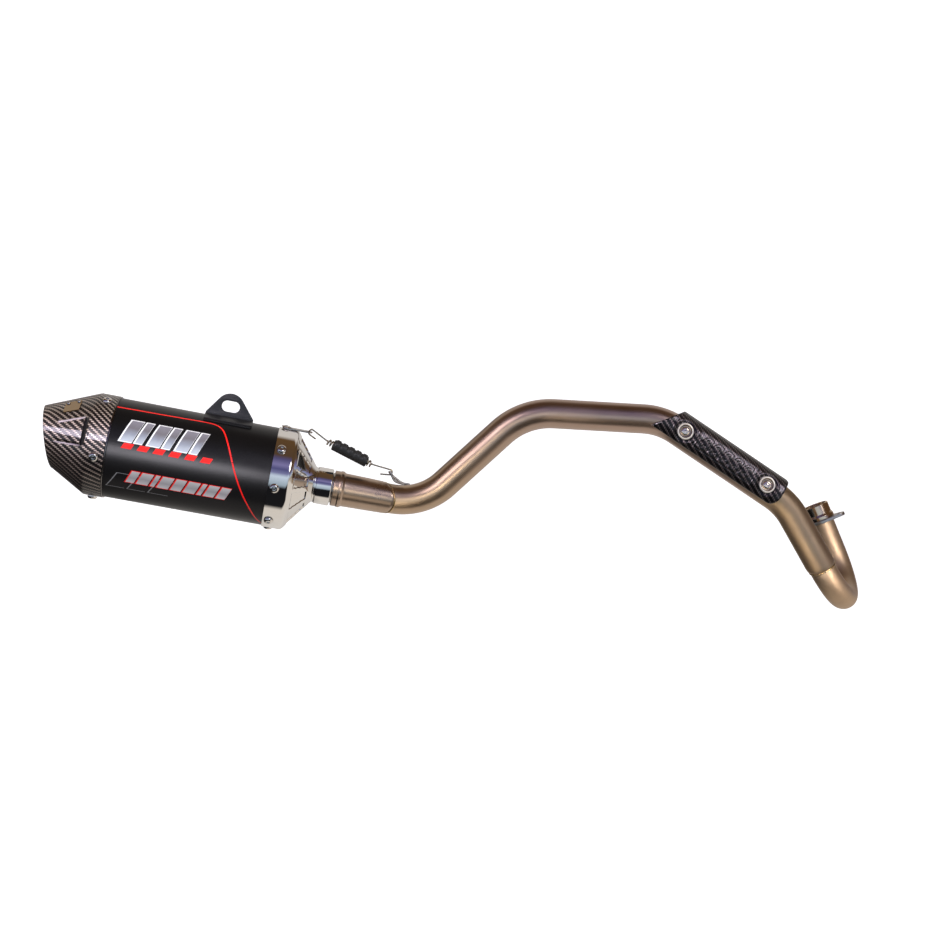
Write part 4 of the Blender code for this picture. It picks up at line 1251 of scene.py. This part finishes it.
def make_heat_shield():
    """A half shell with a slanted end, a rounded end and a rolled edge."""
    columns, rows = 300, 120
    lowest = math.sin(SHIELD_ARC[0])
    grid = []
    for row in range(rows + 1):
        across = row / rows
        angle = SHIELD_ARC[0] + (SHIELD_ARC[1] - SHIELD_ARC[0]) * across
        height = math.sin(min(angle, math.pi / 2))
        start = SHIELD_START[0] + (SHIELD_START[1] - SHIELD_START[0]) * (height - lowest) / (1 - lowest)
        edge = max(0, abs(2 * across - 1) - 0.45) / 0.55
        end = SHIELD_END - 9.0 * (1 - math.sqrt(1 - min(1, edge) ** 2))
        line = []
        for column in range(columns + 1):
            x = start + (end - start) * column / columns
            border = min(x - start, end - x, (across * (1 - across)) * 4 * SHIELD_R)
            roll = -0.5 * (1 - ease(border, 0.0, 1.4))
            radius = SHIELD_R + shield_relief(x, angle) + roll
            line.append((x, radius * math.sin(angle), radius * math.cos(angle)))
        grid.append(line)
    shape = bmesh.new()
    add_grid(shape, grid)
    shield = finish_mesh("heat_shield_carbon", shape, SHIELD_CARBON, SHIELD, "pipe", 45)
    face = shield.data.polygons[len(shield.data.polygons) // 2]
    outward = face.normal.dot(Vector((0, face.center.y, face.center.z))) > 0
    skin = shield.modifiers.new("thickness", "SOLIDIFY")
    skin.thickness = SHIELD_WALL * MM
    skin.offset = -1 if outward else 1
    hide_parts("heat_shield")


def make_shield_fasteners():
    """Cup washers, one metal in two colours: bright outside as a painted highlight and darker in the cup as
    painted shade, with a socket screw in each.
    """
    for index, (station, tilt) in enumerate(SHIELD_SCREWS, 1):
        place = SHIELD @ Matrix.Translation((station * MM, 0, 0)) @ Matrix.Rotation(-tilt, 4, "X")
        seat = SHIELD_R - 0.75
        profile = [(radius, seat + height) for radius, height in (
            (7.5, 0.2), (7.9, 1.0), (7.9, 1.7), (7.4, 2.3), (6.8, 2.4), (6.2, 2.1), (5.7, 1.1),
            (5.4, 0.5), (2.8, 0.4), (2.8, 0.1),
        )]
        cup = lathe(f"cup_washer_{index}_turned", profile, WASHER_RING_PAINTED_HIGHLIGHT, place, "pipe", 72, 0.5)
        # The cup inside the ring gets the painted shade.
        cup.data.materials.append(CUP_PAINTED_SHADE)
        for face in cup.data.polygons:
            if math.hypot(face.center.x, face.center.y) < 6.3 * MM:
                face.material_index = 1
        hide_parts(f"cup_washer_{index}")
        foot = place @ Vector((0, 0, (seat + 0.4) * MM))
        outward = place.to_3x3().col[2]
        button_screw(f"shield_screw_{index}_button", f"shield_screw_{index}", foot, outward, "pipe",
                     4.6, 2.4, SOCKET_METAL)


def dress_hidden_nodes():
    """CAD pieces that stay as they are, seen only through gaps or the outlet."""
    for node, material in (
        ("shield_boss_1", TITANIUM), ("shield_boss_2", TITANIUM), ("inlet_spigot", STEEL),
        ("perforated_core", SOOTY), ("packing", coated("glass_wool", (0.30, 0.25, 0.14), 0.9, 300, 0.001)),
    ):
        NODES[node].data.materials.clear()
        NODES[node].data.materials.append(material)


# ---------------------------------------------------------------- studio

CAMERA_AT = (-0.3475, -1.430, 0.0328)
CAMERA_LENS = 53.05
FLOOR_Z = -0.45
OBJECT_MIDDLE = Vector((-0.37, -0.07, 0.0))


def make_camera():
    data = bpy.data.cameras.new("camera")
    data.lens = CAMERA_LENS
    data.sensor_width = 36.0
    data.clip_end = 60
    camera = bpy.data.objects.new("camera", data)
    bpy.context.scene.collection.objects.link(camera)
    camera.location = CAMERA_AT
    camera.rotation_euler = (math.radians(90), 0, 0)
    bpy.context.scene.camera = camera


def make_floor():
    """A pale floor that curves up into the far walls. Only the camera sees it."""
    tree = Tree("pale_floor")
    mottle = tree.noise(1.5, 2)
    tree.set(Base_Color=tree.mix(mottle, (0.60, 0.60, 0.60), (0.64, 0.64, 0.64)), Roughness=0.9,
             Specular_IOR_Level=0.1, Emission_Strength=0.9,
             Emission_Color=tree.mix(mottle, (0.98, 0.98, 0.98), (1.0, 1.0, 1.0)))
    flat, bend, wall_top = 3.4, 2.0, 9.0
    profile = [(0.01, 0.0), (flat, 0.0)]
    for index in range(1, 17):
        a = math.radians(90 * index / 16)
        profile.append((flat + bend * math.sin(a), bend * (1 - math.cos(a))))
    profile.append((flat + bend, wall_top))
    scaled = [(radius / MM, height / MM) for radius, height in profile]
    place = Matrix.Translation((OBJECT_MIDDLE.x, OBJECT_MIDDLE.y, FLOOR_Z))
    floor = lathe("studio_floor", scaled, tree.material, place, None, 96, 0, closed=False)
    floor.visible_glossy = False
    floor.visible_diffuse = False
    floor.visible_transmission = False
    floor.visible_shadow = False


def make_world():
    """What the metal reflects: pale paper below and behind, a dark room in front, a pale window."""
    tree = Tree("studio", world=True)
    bpy.context.scene.world = tree.material
    x, y, z = tree.xyz()
    angle = tree.math("ARCTAN2", z, tree.times(y, -1.0))

    def level(degrees):
        return (degrees + 180) / 360

    front = tree.ramp(tree.range(angle, 0, 1, -math.pi, math.pi), [(level(at), tone) for at, tone in (
        (-180, (0.56, 0.53, 0.51)), (-140, (0.78, 0.74, 0.70)), (-75, (0.78, 0.72, 0.66)),
        (-66, (0.012, 0.012, 0.014)), (-22, (0.010, 0.010, 0.012)), (-15, (0.40, 0.50, 0.60)),
        (3, (0.66, 0.78, 0.95)), (11, (0.22, 0.23, 0.44)), (20, (0.10, 0.10, 0.26)),
        (30, (0.24, 0.22, 0.46)),
        (44, (0.10, 0.09, 0.22)), (54, (0.10, 0.06, 0.035)), (100, (0.13, 0.070, 0.028)),
        (112, (0.70, 0.66, 0.63)), (150, (0.66, 0.63, 0.61)),
    )])
    right = tree.ramp(tree.range(z, 0, 1, -1.0, 1.0), (
        (0.0, (0.78, 0.72, 0.66)), (0.38, (0.78, 0.72, 0.66)), (0.44, (0.45, 0.38, 0.30)),
        (0.48, (0.50, 0.60, 0.70)), (0.53, (0.20, 0.20, 0.42)), (0.57, (0.12, 0.07, 0.04)),
        (0.75, (0.10, 0.06, 0.03)),
    ))
    colour = tree.mix(tree.range(x, 0, 1, 0.55, 0.72), front, right)
    dim = tree.ramp(tree.range(x, 0, 1, -1.0, 1.0), ((0.26, (0.03, 0.03, 0.03)), (0.40, (1, 1, 1))))
    ahead = tree.ramp(tree.range(angle, 0, 1, -math.pi, math.pi), [(level(at), tone) for at, tone in (
        (-45, (0, 0, 0)), (-20, (1, 1, 1)), (120, (1, 1, 1)), (150, (0, 0, 0)),
    )])
    shade = tree.mix(ahead, dim, (1.0, 1.0, 1.0))
    dimmed = tree.add("ShaderNodeMix", {"Factor": 1.0, 6: colour, 7: shade}, data_type="RGBA",
                      blend_type="MULTIPLY").outputs[2]
    spot = Vector((0.52, -0.73, 0.40)).normalized()
    toward = tree.add("ShaderNodeVectorMath", {0: tree.place, 1: tuple(spot)}, operation="DOT_PRODUCT")
    glow = tree.range(toward.outputs["Value"], 0, 5.0, 0.975, 0.995)
    lamp = tree.add("ShaderNodeMix", {"Factor": 1.0, 6: dimmed, 7: glow}, data_type="RGBA",
                    blend_type="ADD").outputs[2]
    tree.put(tree.shader.inputs["Color"], lamp)


def softbox(name, location, target, size, power, colour, only):
    """A rectangular light that faces a target and lights only those pieces."""
    data = bpy.data.lights.new(name, "AREA")
    data.shape = "RECTANGLE"
    data.size, data.size_y = size
    data.energy = power
    data.color = colour
    light = bpy.data.objects.new(name, data)
    bpy.context.scene.collection.objects.link(light)
    light.location = location
    away = Vector(location) - Vector(target)
    light.rotation_euler = away.to_track_quat("Z", "Y").to_euler()
    group = bpy.data.collections.new(name + "_receivers")
    for piece in only:
        group.objects.link(piece)
    light.light_linking.receiver_collection = group
    return light


def made_of(*materials):
    """Every mesh whose first material is one of these."""
    return [obj for obj in bpy.data.objects
            if obj.type == "MESH" and obj.data.materials and obj.data.materials[0] in materials]


def make_lights():
    """Soft panels and small cards, each kept to the pieces it is for. The two fills show in no reflection."""
    satin = made_of(TITANIUM, BELL_TITANIUM, WELD)
    header = [obj for obj in satin if obj.name.startswith("header")]
    mid_pipe = [obj for obj in satin if obj.name.startswith("mid_pipe")]
    tail = made_of(TAIL_CARBON)
    cloth = made_of(TAIL_CARBON, SHIELD_CARBON)
    small = made_of(POWDER, RUBBER, SPRING_WIRE, STEEL)
    others = [obj for obj in bpy.data.objects if obj.type == "MESH" and obj not in tail]
    # Name, location, target, size, power, colour, pieces.
    panels = (
        ("strip_softbox", (-0.80, -0.80, 0.46), (-0.50, -0.08, 0.03), (0.70, 0.20), 2.45,
         (1.0, 0.90, 0.98), satin + cloth + small),
        ("can_softbox", (-0.62, -0.90, 0.02), (-0.60, -0.10, 0.03), (0.50, 0.22), 6.2,
         (0.98, 0.95, 1.0), made_of(BLACK_CAN)),
        ("tail_softbox", (-0.62, -0.80, 0.25), (-0.66, -0.12, 0.04), (0.50, 0.14), 6.0,
         (0.94, 0.84, 1.0), cloth),
        ("tail_side_softbox", (-1.62, -0.80, 0.46), (-0.70, -0.12, 0.06), (0.60, 0.22), 9.0,
         (0.94, 0.84, 1.0), cloth),
        ("cloth_fill", (-0.90, -0.90, 0.90), (-0.70, -0.12, 0.05), (0.50, 0.50), 62,
         (1.0, 0.92, 0.84), tail),
        ("shield_softbox", (0.48, -0.59, 0.55), (-0.05, -0.09, 0.03), (0.42, 0.36), 4.5,
         (0.94, 0.82, 1.0), cloth),
        ("window_card", (-0.42, -0.80, 0.04), (-0.42, -0.08, 0.0), (0.14, 0.14), 0.45,
         (1.0, 0.88, 0.68), satin),
        ("under_card", (-0.30, -1.00, -0.55), (-0.30, -0.08, 0.0), (1.80, 0.50), 0.6,
         (1.0, 0.88, 0.74), header),
        ("left_card", (-0.66, -0.62, -0.48), (0.0, -0.08, -0.05), (0.50, 0.50), 1.1,
         (1.0, 0.86, 0.68), mid_pipe),
        ("bend_card", (-0.50, -0.80, -0.32), (-0.44, -0.08, -0.02), (0.18, 0.30), 1.6,
         (1.0, 0.90, 0.74), mid_pipe),
        ("bell_card", (-0.45, -0.90, -0.62), (-0.42, -0.08, -0.02), (0.50, 0.40), 0.5,
         (1.0, 0.90, 0.76), made_of(BELL_TITANIUM)),
        ("header_card", (0.48, -0.88, -0.15), (0.03, -0.09, -0.06), (0.20, 0.50), 8.0,
         (1.0, 0.90, 0.84), header),
        ("low_card", (-0.35, -0.78, -0.33), (0.0, -0.08, -0.05), (0.26, 0.26), 2.0,
         (1.0, 0.94, 0.90), header),
        ("front_fill", (-0.37, -2.3, 1.3), (-0.37, -0.08, 0.0), (2.2, 1.6), 92,
         (1.0, 0.98, 0.96), others),
    )
    for name, *rest in panels:
        softbox(name, *rest).visible_glossy = not name.endswith("_fill")


# ---------------------------------------------------------------- build

make_camera()
make_mid_pipe()
make_header_pipe()
HEADER_DOWN = (LOOP_CORNERS[0] - PIPE_CORNERS[-1]).normalized()
HEADER_JOINT = frame_of(PIPE_CORNERS[-1] * MM, -HEADER_DOWN - Vector((0, MITRE, 0)), (0, -1, 0))
make_weld("header_weld_bead", "header_weld", HEADER_R + 0.25, lambda angle: -0.9, HEADER_JOINT, 34)
make_weld("slip_weld_bead", "slip_weld", MID_R + 0.15, lambda angle: bell_edge(angle) - 1.0, MUFFLER, 38)
make_slip_bell()
make_port_parts()
make_can()
make_inlet_cap()
make_end_ring()
make_tail_cap()
make_cap_screws()
make_graphics()
make_pinstripe()
make_hanger()
make_badge()
make_spring()
make_spring_sleeve()
make_spring_mounts()
make_heat_shield()
make_shield_fasteners()
dress_hidden_nodes()
make_floor()
make_world()
make_lights()
bpy.context.scene.view_settings.view_transform = "Standard"

bpy.context.view_layer.update()
